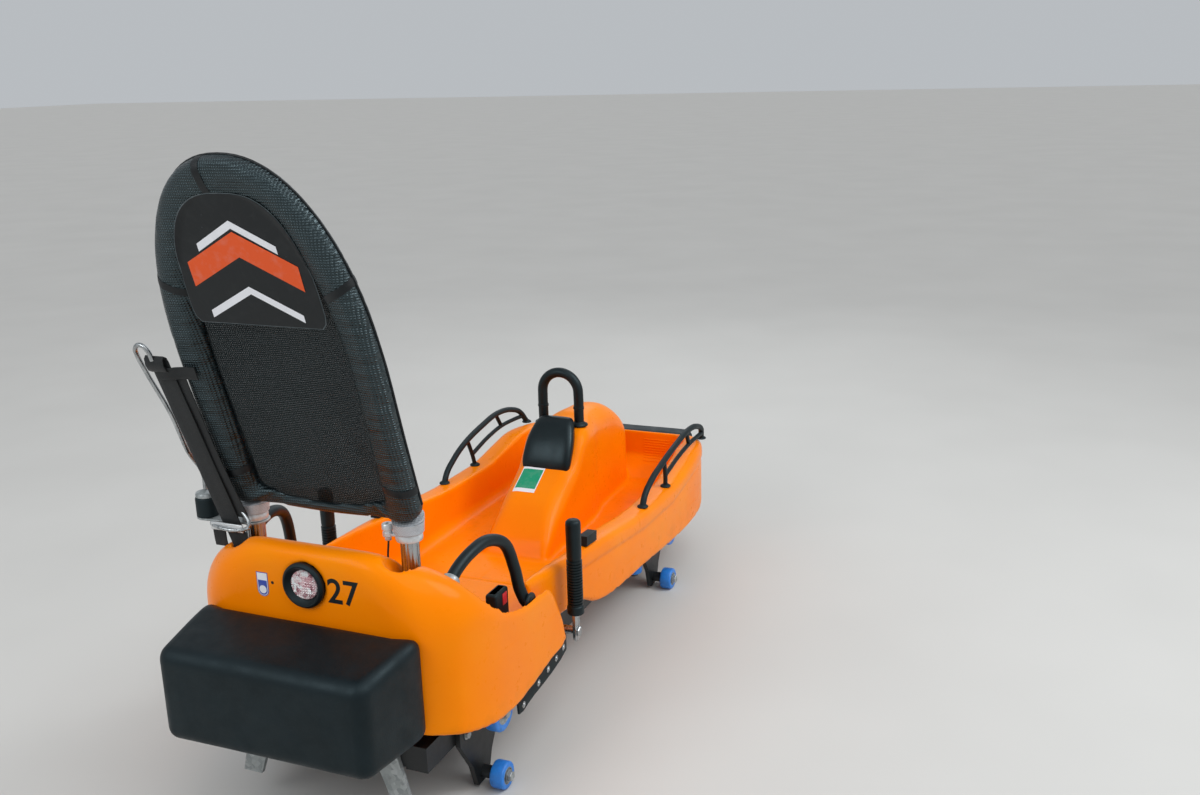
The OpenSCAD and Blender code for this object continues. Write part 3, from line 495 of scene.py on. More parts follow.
# One closed ring of a moulded form: straight sides with round upper and lower corners.
def roundedRing(y, half, low, high, radius, lowRadius, count=64):
    upper = min(radius, half - 1, (high - low) * 0.72)
    lower = min(lowRadius, half - 1, (high - low) * 0.25)
    quarter = count // 4
    points = []
    for centreX, centreZ, r, start in (
            (half - upper, high - upper, upper, 0), (upper - half, high - upper, upper, 90),
            (lower - half, low + lower, lower, 180), (half - lower, low + lower, lower, 270)):
        for i in range(quarter):
            angle = math.radians(start + 90 * i / (quarter - 1))
            points.append(mm(centreX + r * math.cos(angle), y, centreZ + r * math.sin(angle)))
    return points


def formFromRows(rows, steps=4, lowRadius=4, shift=0):
    bm = bmesh.new()
    growForm(bm, [[p + mm(shift, 0, 0) for p in roundedRing(*row, lowRadius)] for row in smoothRows(rows, steps)])
    return bm


# Round tube along a smooth course; the section is turned with the course and never twists.
def tubeAlong(bm, route, diameter, sides, steps):
    course = [p / 1000 for p in smoothRows(route, steps, False)]
    heading = (course[1] - course[0]).normalized()
    side = heading.orthogonal().normalized()
    rings = []
    for i, point in enumerate(course):
        ahead = (course[min(i + 1, len(course) - 1)] - course[max(i - 1, 0)]).normalized()
        side = (side - ahead * side.dot(ahead)).normalized()
        up = ahead.cross(side)
        rings.append([point + (side * math.cos(a) + up * math.sin(a)) * (diameter / 2000) for a in fullTurn(sides)])
    grown = bmesh.new()
    growForm(grown, rings)
    mergeInto(bm, grown)


def mergeInto(bm, other, matrix=None):
    if matrix is not None:
        bmesh.ops.transform(other, matrix=matrix, verts=other.verts)
    mesh = bpy.data.meshes.new("part")
    other.to_mesh(mesh)
    other.free()
    bm.from_mesh(mesh)
    bpy.data.meshes.remove(mesh)


# Turned part: a profile of radius and height is spun round an axis through a point.
def turned(bm, profile, at, axis=(0, 0, 1), segments=48):
    grown = bmesh.new()
    verts = [grown.verts.new((r / 1000, 0, z / 1000)) for r, z in profile]
    edges = [grown.edges.new(pair) for pair in zip(verts, verts[1:])]
    bmesh.ops.spin(grown, geom=verts + edges, cent=(0, 0, 0), axis=(0, 0, 1), angle=2 * math.pi, steps=segments,
                   use_merge=True)
    bmesh.ops.remove_doubles(grown, verts=grown.verts, dist=1e-6)
    bmesh.ops.recalc_face_normals(grown, faces=grown.faces)
    turn = Vector((0, 0, 1)).rotation_difference(Vector(axis)).to_matrix().to_4x4()
    mergeInto(bm, grown, Matrix.Translation(mm(*at)) @ turn)


# Block with its edges rounded, laid from one corner to the other.
def block(bm, low, high, round=1.5, segments=2, matrix=None):
    grown = bmesh.new()
    bmesh.ops.create_cube(grown, size=1)
    size = [(b - a) / 1000 for a, b in zip(low, high)]
    bmesh.ops.scale(grown, vec=size, verts=grown.verts)
    bmesh.ops.translate(grown, vec=mm(*[(a + b) / 2 for a, b in zip(low, high)]), verts=grown.verts)
    if round:
        bmesh.ops.bevel(grown, geom=list(grown.edges), offset=round / 1000, segments=segments, profile=0.5,
                        affect="EDGES", material=-1)
    mergeInto(bm, grown, matrix)


# Takes the cuts out of a form.
def carve(thing, cuts):
    tools = [looseObject("cut", cut) for cut in cuts]
    for tool in tools:
        cutter = thing.modifiers.new("cut", "BOOLEAN")
        cutter.object, cutter.operation, cutter.solver = tool, "DIFFERENCE", "EXACT"
    bakeModifiers(thing)
    for tool in tools:
        bpy.data.objects.remove(tool)


# A moulded shell: the cuts are taken out of the form, then the whole skin is made again with soft edges.
def mould(name, form, cuts, spec):
    shell = looseObject(name, form)
    carve(shell, cuts)
    skin = shell.modifiers.new("skin", "REMESH")
    skin.mode, skin.voxel_size = "VOXEL", spec["grain"] / 1000
    soft = shell.modifiers.new("soft", "SMOOTH")
    soft.factor, soft.iterations = 0.5, spec["softening"]
    return bakeModifiers(shell)


# The point where a ray meets a thing, lifted off its surface, or nothing where the ray misses.
def castOn(thing, start, way, lift):
    found, place, normal = thing.ray_cast(start, way.normalized())[:3]
    return place + normal * (lift / 1000) if found else None


# Sets thin pieces on a surface: each point is moved along one direction until it meets the surface.
def layOn(thing, target, way, lift, reach=0.12):
    bpy.context.evaluated_depsgraph_get().update()
    for vertex in thing.data.vertices:
        vertex.co = castOn(target, vertex.co - way * reach, way, lift) or vertex.co


# Divides a flat plate until it can follow a surface.
def divide(bm, longest, rounds, even=False):
    for step in range(rounds):
        bmesh.ops.subdivide_edges(bm, edges=[e for e in bm.edges if e.calc_length() > longest], cuts=1)
        bmesh.ops.triangulate(bm, faces=bm.faces)
        if even:
            bmesh.ops.beautify_fill(bm, faces=bm.faces, edges=bm.edges)


# Rows of the shells: place along the car, half width, lower edge, upper edge, radius of the upper corners.
# "grain" is the size of the voxels that the skin is made again from.
rearShell = {
    "outside": [(300, 326, 212, 222, 4), (333, 328, 206, 299, 12), (390, 328, 203, 382, 20), (480, 328, 190, 394, 28),
                (562, 328, 184, 416, 34), (620, 327, 186, 454, 50), (660, 323, 192, 492, 70),
                (700, 315, 200, 538, 110), (740, 301, 210, 568, 150), (770, 275, 218, 586, 172),
                (790, 248, 224, 582, 165), (800, 222, 228, 570, 150), (804, 202, 230, 554, 140)],
    "seatRoom": [(280, 320, 240, 800, 20), (560, 320, 240, 800, 50), (632, 312, 241, 800, 60), (655, 300, 290, 800, 60),
                 (672, 284, 400, 800, 50)],
    "under": [(280, 320, 100, 232, 8), (560, 320, 100, 232, 8), (636, 315, 100, 232, 8), (652, 306, 100, 232, 8)],
    "behind": [(647, 288, 100, 232, 8), (680, 286, 100, 300, 8), (681, 280, 100, 470, 60), (740, 264, 100, 520, 120),
               (794, 190, 100, 520, 120)],
    "post": (183, 706), "postHole": 25, "postFrom": 180, "notchFrom": 512, "notchRadius": 27, "notchLean": 38,
    "beltSlot": ((157, 706, 470), (219, 759, 720)), "lampAt": (0, 766, 514), "lampHole": 43,
    "grain": 5.2, "softening": 10}


def makeRearShell(spec):
    shellForm = formFromRows(spec["outside"], 5)
    cuts = [formFromRows(spec["seatRoom"], 4, 20), formFromRows(spec["under"], 1, 8),
            formFromRows(spec["behind"], 1, 8)]
    lean = math.radians(spec["notchLean"])
    bores = []
    for side in (-1, 1):
        x, y = side * spec["post"][0], spec["post"][1]
        bores.append((spec["postHole"], 500, (x, y, spec["postFrom"]), (0, 0, 1)))
        bores.append((spec["notchRadius"], 200, (x, y, spec["notchFrom"]), (0, math.sin(lean), math.cos(lean))))
    bores.append((spec["lampHole"], 60, spec["lampAt"], (0, 1, 0)))
    for radius, deep, at, axis in bores:
        bore = bmesh.new()
        turned(bore, [(0, 0), (radius, 0), (radius, deep), (0, deep)], at, axis)
        cuts.append(bore)
    belt = bmesh.new()
    block(belt, *spec["beltSlot"], 4)
    dress(mould("rearShellSkin", shellForm, cuts + [belt], spec), "car", "orange_shell", 55, ("rear_shell",))


makeRearShell(rearShell)
print("rear shell made")

# The front tub has its leg room, a tunnel with a hump, and a crease along each flank, "crease" below the rim.
frontTub = {
    "outside": [(-880, 215, 196, 336, 30), (-866, 246, 186, 344, 30), (-850, 263, 176, 350, 30),
                (-790, 299, 162, 362, 26), (-700, 320, 158, 362, 22), (-600, 325, 156, 346, 20),
                (-448, 325, 162, 325, 18), (-222, 322, 180, 330, 18), (-23, 316, 188, 352, 18),
                (70, 310, 202, 360, 18), (158, 304, 240, 368, 18), (236, 298, 248, 376, 18),
                (300, 292, 250, 382, 18), (400, 283, 250, 390, 18)],
    "legRoom": [(-845, 192, 274, 600, 20), (-810, 226, 236, 600, 26), (-760, 250, 213, 600, 30),
                (-300, 262, 212, 600, 30), (70, 262, 212, 600, 30), (170, 268, 260, 600, 30), (410, 268, 260, 600, 30)],
    "under": [(-860, 202, 0, 204, 8), (-740, 309, 0, 204, 8), (70, 297, 0, 204, 8), (174, 287, 0, 251, 8),
              (410, 267, 0, 252, 8)],
    "hollowAt": 293.5, "sideHollow": [(-712, 18.5, 0, 345, 6), (-660, 23, 0, 340, 6), (-600, 23, 0, 331, 6),
                                      (-448, 23, 0, 312, 6), (-222, 18, 0, 316, 6), (-23, 18, 0, 338, 6)],
    "tunnel": [(-800, 44, 207, 352, 30), (-770, 58, 207, 400, 46), (-740, 66, 207, 438, 56), (-690, 68, 207, 474, 62),
               (-640, 68, 207, 496, 64), (-580, 70, 207, 507, 66), (-510, 74, 207, 508, 60), (-455, 86, 207, 494, 42),
               (-400, 92, 207, 490, 32), (-310, 92, 207, 407, 44), (-190, 92, 207, 336, 46), (-110, 95, 207, 262, 30),
               (-80, 90, 207, 214, 4)],
    "grain": 5.0, "softening": 10, "kept": 0.68, "crease": 44, "overhang": 2.6, "creaseEnds": (-850, 240),
    "ribs": {"from": 258, "to": 332, "pitch": 8.5, "across": (92, 196), "behind": -640, "thick": 3.2, "sunk": 0.4}}


# The flanks stand out a little above the crease and are drawn in a little just below it; both fade at its ends.
def creaseFlanks(skin, spec):
    rows = sorted((row[0], row[1], row[3]) for row in spec["outside"])
    out, crease, (first, last) = spec["overhang"] / 1000, spec["crease"], spec["creaseEnds"]
    for vertex in skin.data.vertices:
        x, y, z = vertex.co * 1000
        for (y0, half0, top0), (y1, half1, top1) in zip(rows, rows[1:]):
            if y0 <= y <= y1:
                t = (y - y0) / (y1 - y0)
                half, top = half0 + (half1 - half0) * t, top0 + (top1 - top0) * t
                share = max(0.0, min(1.0, (z - top + crease + 5) / 10))
                ends = max(0.0, min(1.0, (y - first) / 60, (last - y) / 60))
                if abs(x) > half - 10:
                    vertex.co.x += math.copysign(out * share * share * (3 - 2 * share) * ends, x)
                    if z < top - crease:
                        fade = max(0.0, 1 - (top - crease - z) / 26)
                        vertex.co.x -= math.copysign(out * 0.6 * ends * fade, x)


def makeFrontTub(spec):
    tub = looseObject("tubForm", formFromRows(spec["outside"], 4, 8))
    hollows = [formFromRows(spec["legRoom"], 3, 30), formFromRows(spec["under"], 1, 8)]
    hollows += [formFromRows(spec["sideHollow"], 1, 6, side * spec["hollowAt"]) for side in (-1, 1)]
    carve(tub, hollows)
    joined = bmesh.new()
    joined.from_mesh(tub.data)
    bpy.data.objects.remove(tub)
    mergeInto(joined, formFromRows(spec["tunnel"], 4, 4))
    skin = mould("frontTubSkin", joined, [], spec)
    creaseFlanks(skin, spec)
    thinner = skin.modifiers.new("thinner", "DECIMATE")  # the voxels leave more faces than the flat walls need
    thinner.ratio = spec["kept"]
    bakeModifiers(skin)
    dress(skin, "car", "orange_shell", 55, ("front_tub",))


makeFrontTub(frontTub)


# Fine ribs across the front wall of each footwell.
def makeRibs(spec):
    tub = bpy.data.objects["frontTubSkin"]
    bm = bmesh.new()
    low, high = spec["across"]
    for side in (-1, 1):
        z = spec["from"]
        while z <= spec["to"]:
            course = []
            for k in range(9):
                start = mm(side * (low + (high - low) * k / 8), spec["behind"], z)
                point = castOn(tub, start, Vector((0, -1, 0)), -spec["sunk"])
                if point:
                    course.append(tuple(point * 1000))
            tubeAlong(bm, course, spec["thick"], 8, 2)
            z += spec["pitch"]
    addPiece("footwellRibs", bm, "car", "orange_shell", 55)


makeRibs(frontTub["ribs"])
print("front tub made")

# Backrest: a padded roll round a frame, with an open mesh between. Its plane leans back from the foot.
backrest = {"foot": (0, 712, 640), "lean": 17, "half": 230, "length": 740, "rise": 440, "corner": 36, "power": 0.9,
            "roll": 80, "hem": 30, "thick": 62, "hemThick": 13, "hemSag": 15, "sections": 24,
            "fill": 0.7, "voxel": 5.0, "pressure": 3.5, "most": 4.0, "meshSag": 16, "meshMiddle": 330, "meshRings": 7}


# A point of the backrest: across, up its slope, and out of its plane towards the rear.
def onBack(x, up, out):
    lean = math.radians(backrest["lean"])
    fx, fy, fz = backrest["foot"]
    return mm(fx + x, fy + up * math.sin(lean) + out * math.cos(lean),
              fz + up * math.cos(lean) - out * math.sin(lean))


# Outline of the backrest, moved in by the width of the roll at the sides and top and of the hem below.
def backOutline(inset, low):
    half = backrest["half"] - inset
    foot = half - 3
    r = max(backrest["corner"] - inset, 20)
    spring = backrest["length"] - backrest["rise"]
    points = []
    for i in range(49):
        a = math.pi * i / 48
        c, s = math.cos(a), max(math.sin(a), 0.0)
        points.append((half * fuller(c, backrest["power"]),
                       spring + (backrest["rise"] - inset) * s ** backrest["power"]))
    corner = [(math.cos(math.radians(a)), math.sin(math.radians(a))) for a in range(180, 271, 15)]
    left = [(-foot + r + r * c, low + r + r * s) for c, s in corner]
    right = [(-x, y) for x, y in reversed(left)]
    side = [(-half + (half - foot) * k / 7, spring + (low + r - spring) * k / 7) for k in range(1, 7)]
    hem = [(left[-1][0] + (right[0][0] - left[-1][0]) * k / 12,
            low - backrest["hemSag"] * (1 - (k / 6 - 1) ** 2)) for k in range(1, 12)]
    return points + side + left + hem + right + [(-x, y) for x, y in reversed(side)]


# How much of a station belongs to the hem, 0 on the roll and 1 along the lower edge.
def hemShare(across, up):
    return max(0.0, min(1.0, (186 - abs(across)) / 34)) if up < 60 else 0.0


def makeBackRoll(spec):
    outer, inner = backOutline(0, 0), backOutline(spec["roll"], spec["hem"])
    rings = []
    for (ox, oy), (ix, iy) in zip(outer, inner):
        share = hemShare(ox, oy)
        thick = (spec["thick"] + (spec["hemThick"] - spec["thick"]) * share) / 2 - 2.5
        ring = []
        for a in fullTurn(spec["sections"]):
            wide = 0.5 + 0.5 * 0.975 * fuller(math.cos(a), 0.85)
            blend = thick * (1 - 0.42 * (1 - share) * (1 - wide) ** 1.3)
            ring.append(onBack(ix + (ox - ix) * wide, iy + (oy - iy) * wide, blend * fuller(math.sin(a), 0.85)))
        rings.append(ring)
    bm = bmesh.new()
    growForm(bm, rings, closed=True)
    roll = looseObject("backRoll", bm)
    plump(roll, spec)
    dress(roll, "car", "back_vinyl", 0, ("back_roll",))


# A padded piece is filled and its skin is rounded once more.
def plump(pad, spec):
    inflate(pad, spec)
    smooth = pad.modifiers.new("smooth", "SUBSURF")
    smooth.levels = smooth.render_levels = 1
    bakeModifiers(pad)


# The pad is filled by a short cloth simulation, and no point of it may move further than "most".
def inflate(pad, spec):
    most, lastFrame = spec["most"] / 1000, 20
    skin = pad.modifiers.new("skin", "REMESH")
    skin.mode, skin.voxel_size = "VOXEL", spec["voxel"] / 1000
    bakeModifiers(pad)
    start = [v.co.copy() for v in pad.data.vertices]
    cloth = pad.modifiers.new("cloth", "CLOTH")
    cloth.settings.quality = 4
    cloth.settings.mass = 0.3
    cloth.settings.tension_stiffness = cloth.settings.compression_stiffness = 12
    cloth.settings.bending_stiffness = 0.6
    cloth.settings.use_pressure = True
    cloth.settings.uniform_pressure_force = spec["pressure"]
    cloth.settings.effector_weights.gravity = 0
    cloth.collision_settings.use_collision = False
    cloth.point_cache.frame_start, cloth.point_cache.frame_end = 1, lastFrame
    for step in range(1, lastFrame + 1):
        bpy.context.scene.frame_set(step)
    bakeModifiers(pad)
    bpy.context.scene.frame_set(1)
    for vertex, place in zip(pad.data.vertices, start):
        move = vertex.co - place
        if move.length > most:
            vertex.co = place + move * (most / move.length)


makeBackRoll(backrest)

# Sewn bands: smooth dark cloth round the roll where its two covers meet, and a fine cord along the outer edge.
# "section" gives the band's width from its middle and its height over the roll; its edges end inside the roll.
bands = {"stations": (22, 41, 54, 7, 80), "section": ((-8.3, -1.4), (-7.5, 0.8), (0, 1.1), (7.5, 0.8), (8.3, -1.4)),
         "cord": 4.6, "cordStations": [*range(79, 86), *range(0, 49, 2), *range(49, 56)]}


def makeBands(spec):
    roll = bpy.data.objects["backRoll"]
    outer, inner = backOutline(0, 0), backOutline(backrest["roll"], backrest["hem"])
    cloth = bmesh.new()
    count = len(outer)
    for station in spec["stations"]:
        before, after = outer[(station - 1) % count], outer[(station + 1) % count]
        along = Vector((after[0] - before[0], after[1] - before[1])).normalized()
        (ox, oy), (ix, iy) = outer[station], inner[station]
        rings = []
        for step, lift in spec["section"]:
            ring = []
            centre = onBack(ix + (ox - ix) * 0.52 + along.x * step, iy + (oy - iy) * 0.52 + along.y * step, 0)
            for a in fullTurn(40):
                wide, out = 0.52 + 1.1 * math.cos(a), 90 * math.sin(a)
                start = onBack(ix + (ox - ix) * wide + along.x * step, iy + (oy - iy) * wide + along.y * step, out)
                ring.append(castOn(roll, start, centre - start, lift) or centre)
            rings.append(ring)
        band = bmesh.new()
        growForm(band, rings, closed=True)
        mergeInto(cloth, band)
    addPiece("rollBands", cloth, "car", "back_vinyl", 50, (), materials["badgeVinyl"])
    cord = bmesh.new()
    course = []
    for station in spec["cordStations"]:
        x, up = outer[station % count]
        away = Vector((x, max(up - 300, 0))).normalized()
        start = onBack(x + away.x * 60, up + away.y * 60, -5)
        point = castOn(roll, start, onBack(x, up, -5) - start, 0.6)
        if point:
            course.append(tuple(point * 1000))
    tubeAlong(cord, course, spec["cord"], 8, 2)
    addPiece("rollCord", cord, "car", "back_vinyl", 60, (), materials["badgeVinyl"])


makeBands(bands)
print("backrest roll made")


# The mesh is one sheet stretched between the roll's inner sides, hollowed a little towards the seat.
def makeBackMesh(spec):
    outline = backOutline(spec["roll"] - 22, spec["hem"] - 8)
    bm = bmesh.new()
    face = startFace(bm, [onBack(x, up, 0) for x, up in outline])
    middle, rings = spec["meshMiddle"], spec["meshRings"]
    for step in range(rings):
        face = bmesh.ops.extrude_discrete_faces(bm, faces=[face])["faces"][0]
        share = (rings - 1 - step) / rings
        for loop, (x, up) in zip(face.loops, outline):
            loop.vert.co = onBack(x * share, middle + (up - middle) * share, -spec["meshSag"] * (1 - share ** 2))
    bmesh.ops.remove_doubles(bm, verts=bm.verts, dist=1e-5)
    bmesh.ops.recalc_face_normals(bm, faces=bm.faces)
    bmesh.ops.solidify(bm, geom=list(bm.faces), thickness=0.002)
    addPiece("backMesh", bm, "car", "back_mesh", 0, ("back_mesh",))


makeBackMesh(backrest)
print("backrest mesh made")

# Bumpers: blocks of skinned foam with soft edges, a little swollen between them and dented by use.
bumpers = {"rear": {"low": (-257, 804.3, 224), "high": (257, 980, 445), "farTop": 418, "round": 27,
                    "farHalf": 0.905, "replaced": "rear_bumper"},
           "front": {"low": (-215, -980, 210), "high": (215, -880.3, 340), "farTop": 332, "round": 24,
                     "farHalf": 1.0, "replaced": "front_bumper"},
           "swell": 2.2, "dent": 2.6}


def makeBumper(name, spec):
    low, high = spec["low"], spec["high"]
    rear = high[1] > 0
    far = high[1] if rear else low[1]
    bm = bmesh.new()
    block(bm, low, high, 0)
    for vert in bm.verts:
        if abs(vert.co.y * 1000 - far) < 1 and vert.co.z * 1000 > low[2] + 50:
            vert.co.z = spec["farTop"] / 1000
        if abs(vert.co.y * 1000 - far) < 1:
            vert.co.x *= spec["farHalf"]
    bmesh.ops.bevel(bm, geom=list(bm.edges), offset=spec["round"] / 1000, segments=7, profile=0.5, affect="EDGES",
                    material=-1)
    bmesh.ops.subdivide_edges(bm, edges=[e for e in bm.edges if e.calc_length() > 0.03], cuts=14, use_grid_fill=True)
    centre = mm(*[(a + b) / 2 for a, b in zip(low, high)])
    half = [(b - a) / 2000 for a, b in zip(low, high)]
    for vert in bm.verts:
        away = [(c - m) / h for c, m, h in zip(vert.co, centre, half)]
        crown = 1.0
        for a in away:
            crown *= 1 - 0.55 * min(1.0, abs(a)) ** 4
        dent = noise.noise(vert.co * 5.5 + Vector((3.1, 0, 0))) * bumpers["dent"] - bumpers["dent"] * 0.5
        grow = (bumpers["swell"] * (crown - 0.45) + dent * 0.5) / 1000
        side = max(range(3), key=lambda k: abs(away[k]))
        if away[1] * (-1 if rear else 1) > 0.98:  # the face that is bolted on stays flat
            continue
        vert.co[side] += grow * (1 if away[side] > 0 else -1)
    if rear:  # the foam's front is cut to fit round the shell's tail
        for vert in bm.verts:
            across = abs(vert.co.x * 1000)
            reach = max(0.0, min(1.0, (860 - vert.co.y * 1000) / 56))
            vert.co.y -= reach * max(0.0, min(19.0, (across - 200) * 0.33)) / 1000
    addPiece(name, bm, "car", "bumper_foam", 0, (spec["replaced"],))


makeBumper("rearBumper", bumpers["rear"])
makeBumper("frontBumper", bumpers["front"])
print("bumpers made")

# Posts that carry the backrest: a fluted tube out of the shell's notch, a pale ring and a knurled clamp collar.
posts = {"x": 183, "y": 706, "tube": 37, "flutes": 14, "fluteDepth": 1.1, "ringFrom": 594, "ringTo": 610, "ring": 54,
         "collar": 64, "collarHigh": 38, "chassis": 195}


def flutedTube(bm, at, low, high, radius, count, depth):
    section = [(a, radius - depth * (0.5 + 0.5 * math.cos(a * count)) ** 2) for a in fullTurn(count * 8)]
    rings = [[mm(at[0] + math.cos(a) * r, at[1] + math.sin(a) * r, z) for a, r in section]
             for z in (low, low + 1.5, high - 1.5, high)]
    grown = bmesh.new()
    growForm(grown, rings)
    mergeInto(bm, grown)


def makePosts(spec):
    tube, rings, collars = bmesh.new(), bmesh.new(), bmesh.new()
    for side in (-1, 1):
        x, y = side * spec["x"], spec["y"]
        flutedTube(tube, (x, y), spec["chassis"], spec["ringTo"] - 1, spec["tube"] / 2, spec["flutes"],
                   spec["fluteDepth"])
        f, t, r = spec["ringFrom"], spec["ringTo"], spec["ring"] / 2
        turned(rings, [(18.8, f), (r - 4, f), (r - 1, f + 1), (r, f + 4), (r, t - 4), (r - 1.5, t - 1), (r - 1.5, t),
                       (18.8, t), (18.8, f)], (x, y, 0))
        c, top = spec["collar"] / 2, t + spec["collarHigh"]
        turned(collars, [(18.6, t), (c - 4, t), (c - 2, t + 2), (c - 0.6, t + 22), (c - 2.6, t + 22.6),
                         (c - 2.6, t + 24.4), (c, t + 25), (c, top), (18.6, top), (18.6, t)], (x, y, 0), segments=96)
    lean = math.radians(backrest["lean"])
    bmesh.ops.bisect_plane(collars, geom=collars.verts[:] + collars.edges[:] + collars.faces[:],
                           plane_co=onBack(0, -1.0, 0), plane_no=(0, math.sin(lean), math.cos(lean)), clear_outer=True)
    bmesh.ops.holes_fill(collars, edges=collars.edges, sides=0)
    addPiece("postTubes", tube, "car", "galvanised", 50, ("seat_posts",), materials["bright_steel"])
    addPiece("postRings", rings, "car", "galvanised", 40, (), materials["castAlloy"])
    addPiece("postCollars", collars, "car", "galvanised", 40, ("post_collars",), materials["knurledAlloy"])


makePosts(posts)
print("posts made")

# Tail lamp: a stepped black bezel and a clear lens of small pyramids.
tailLamp = {"at": (0, 804, 514), "radius": 47, "lens": 30.4, "facets": 11}


def makeLamp(spec):
    bezel = bmesh.new()
    r = spec["radius"]
    turned(bezel, [(26, -22), (37.5, -22), (37.5, 0.6), (r - 1, 0.6), (r, 1.6), (r, 7), (r - 2.5, 10.5),
                   (r - 5.5, 12), (r - 7.5, 11.4), (r - 9, 8.5), (31.6, 2.4), (31.2, -8), (26, -8), (26, -22)],
           spec["at"], (0, 1, 0), 96)
    addPiece("lampBezel", bezel, "car", "black_plastic", 35, ("lamp_bezel",))
    lens = bmesh.new()
    size = spec["lens"] / 1000
    grid = bmesh.ops.create_grid(lens, x_segments=spec["facets"], y_segments=spec["facets"], size=size)["verts"]
    for vert in grid:
        u, v = vert.co.x / size, vert.co.y / size
        vert.co = Vector((u * math.sqrt(1 - v * v / 2), v * math.sqrt(1 - u * u / 2), 0)) * size
        vert.co = mm(*spec["at"]) + Vector((vert.co.x, 0.002 + 0.004 * (1 - (vert.co.length / size) ** 2), vert.co.y))
    skirt = bmesh.ops.extrude_edge_only(lens, edges=[e for e in lens.edges if e.is_boundary])["geom"]
    bmesh.ops.translate(lens, vec=(0, -0.009, 0), verts=[v for v in skirt if isinstance(v, bmesh.types.BMVert)])
    bmesh.ops.holes_fill(lens, edges=[e for e in lens.edges if e.is_boundary], sides=0)
    bmesh.ops.recalc_face_normals(lens, faces=lens.faces)
    facets = [f for f in lens.faces if f.normal.y > 0.8]
    bmesh.ops.poke(lens, faces=facets, offset=0.0022, center_mode="MEAN_WEIGHTED")
    addPiece("lampLens", lens, "car", "lamp_glass", 8, ("lamp_lens",))


makeLamp(tailLamp)

# Cable fitting beside the right collar: a small cast sleeve on a lug, its nut, and the thin black cable.
fitting = {"at": (-139, 712), "foot": 598, "cable": 4.0, "end": (-138, 716, 543)}


def makeFitting(spec):
    x, y = spec["at"]
    z = spec["foot"]
    bm, cable = bmesh.new(), bmesh.new()
    turned(bm, [(3.5, 0), (9, 0), (10.5, 1.5), (10.5, 9), (9, 10.5), (9, 14), (11.5, 15.5), (11.5, 25), (10, 27),
                (3.5, 27), (3.5, 0)], (x, y, z), (0, 0, 1), 40)
    turned(bm, [(2.2, -8), (6.5, -8), (7.4, -7), (7.4, -1), (6.6, 0), (2.2, 0), (2.2, -8)], (x, y, z), (0, 0, 1), 6)
    block(bm, (x - 20, y - 7, z + 3), (x - 9, y + 7, z + 8), 1)
    addPiece("cableFitting", bm, "car", "galvanised", 40, (), materials["castAlloy"])
    course = [(x, y, z + 8), (x, y, z - 6), (x + 0.6, y + 0.8, z - 18), (x + 1.4, y + 2.4, z - 30),
              (x + 1.8, y + 3.6, z - 42), spec["end"]]
    tubeAlong(cable, course, spec["cable"], 12, 5)
    rope = addPiece("leverCable", cable, "car", "black_plastic", 60)


makeFitting(fitting)
print("tail lamp and cable made")

# Black coated tubes beside the seat, each in a pale ferrule on the seat back and a flange on the side wall.
hipTubes = {"diameter": 26, "flange": (319.4, 462, 372), "ferrule": (250, 679, 501),
            "route": [(250, 686, 497), (250, 676, 503), (252, 652, 518), (259, 600, 537), (267, 548, 541),
                      (278, 500, 520), (287, 470, 450), (296, 462, 392), (308, 462, 373), (319.7, 462, 372)]}


# Moves a point to one side of the car: a side of 1 is the left, one of -1 the right.
def sided(side, point):
    return side * point[0], point[1], point[2]


def makeHipTubes(spec):
    tubes, ferrules = bmesh.new(), bmesh.new()
    for side in (-1, 1):
        tubeAlong(tubes, [sided(side, point) for point in spec["route"]], spec["diameter"], 20, 7)
        turned(tubes, [(0, 0), (22, 0), (23, 1.5), (23, 4), (21, 6), (15, 8), (12, 8), (12, 0)],
               sided(side, spec["flange"]), (-side, 0, 0), 40)
        turned(ferrules, [(12, 0), (18, 0), (18.5, 2), (18.5, 9), (16.5, 12), (12.5, 12.5)],
               sided(side, spec["ferrule"]), (0, -0.83, 0.56), 40)
    addPiece("hipTubes", tubes, "car", "handle_grip", 40, ("hip_tubes",))
    addPiece("hipFerrules", ferrules, "car", "galvanised", 40)


makeHipTubes(hipTubes)

# Hoop handle: one bent tube with a soft sleeve, and the moulded boot behind its foot.
hoop = {"y": -420, "half": 55, "diameter": 28, "foot": 488, "cuff": 490, "ring": 538, "knee": 530, "bend": 586}


def makeHoop(spec):
    bm = bmesh.new()
    half, y = spec["half"], spec["y"]
    leg = [(half, spec["foot"]), (half, spec["knee"])]
    arch = [(half * math.cos(math.pi * k / 18), spec["bend"] + half * math.sin(math.pi * k / 18)) for k in range(19)]
    course = leg + arch + [(-x, z) for x, z in reversed(leg)]
    tubeAlong(bm, [(x, y, z) for x, z in course], spec["diameter"], 28, 2)
    for side in (-1, 1):
        turned(bm, [(13, 0), (24, 0), (25, 2), (24, 5), (17, 9), (14.2, 12)], (side * half, y, spec["cuff"]),
               (0, 0, 1), 40)
        turned(bm, [(13.8, 0), (15.4, 1), (15.4, 7), (13.8, 8)], (side * half, y, spec["ring"]), (0, 0, 1), 40)
    addPiece("hoopHandle", bm, "car", "handle_grip", 45, ("hoop_handle",))


makeHoop(hoop)

# Rows of the boot: place along the car, height, half width and how far it stands out of the slope.
boot = {"rows": [(-300, 392, 44, 3), (-304, 400, 64, 12), (-318, 424, 73, 24), (-346, 464, 71, 33),
                 (-374, 497, 63, 35), (-392, 518, 54, 28), (-402, 529, 46, 14), (-404, 530, 36, 3)],
        "slope": 0.62, "inside": 7}


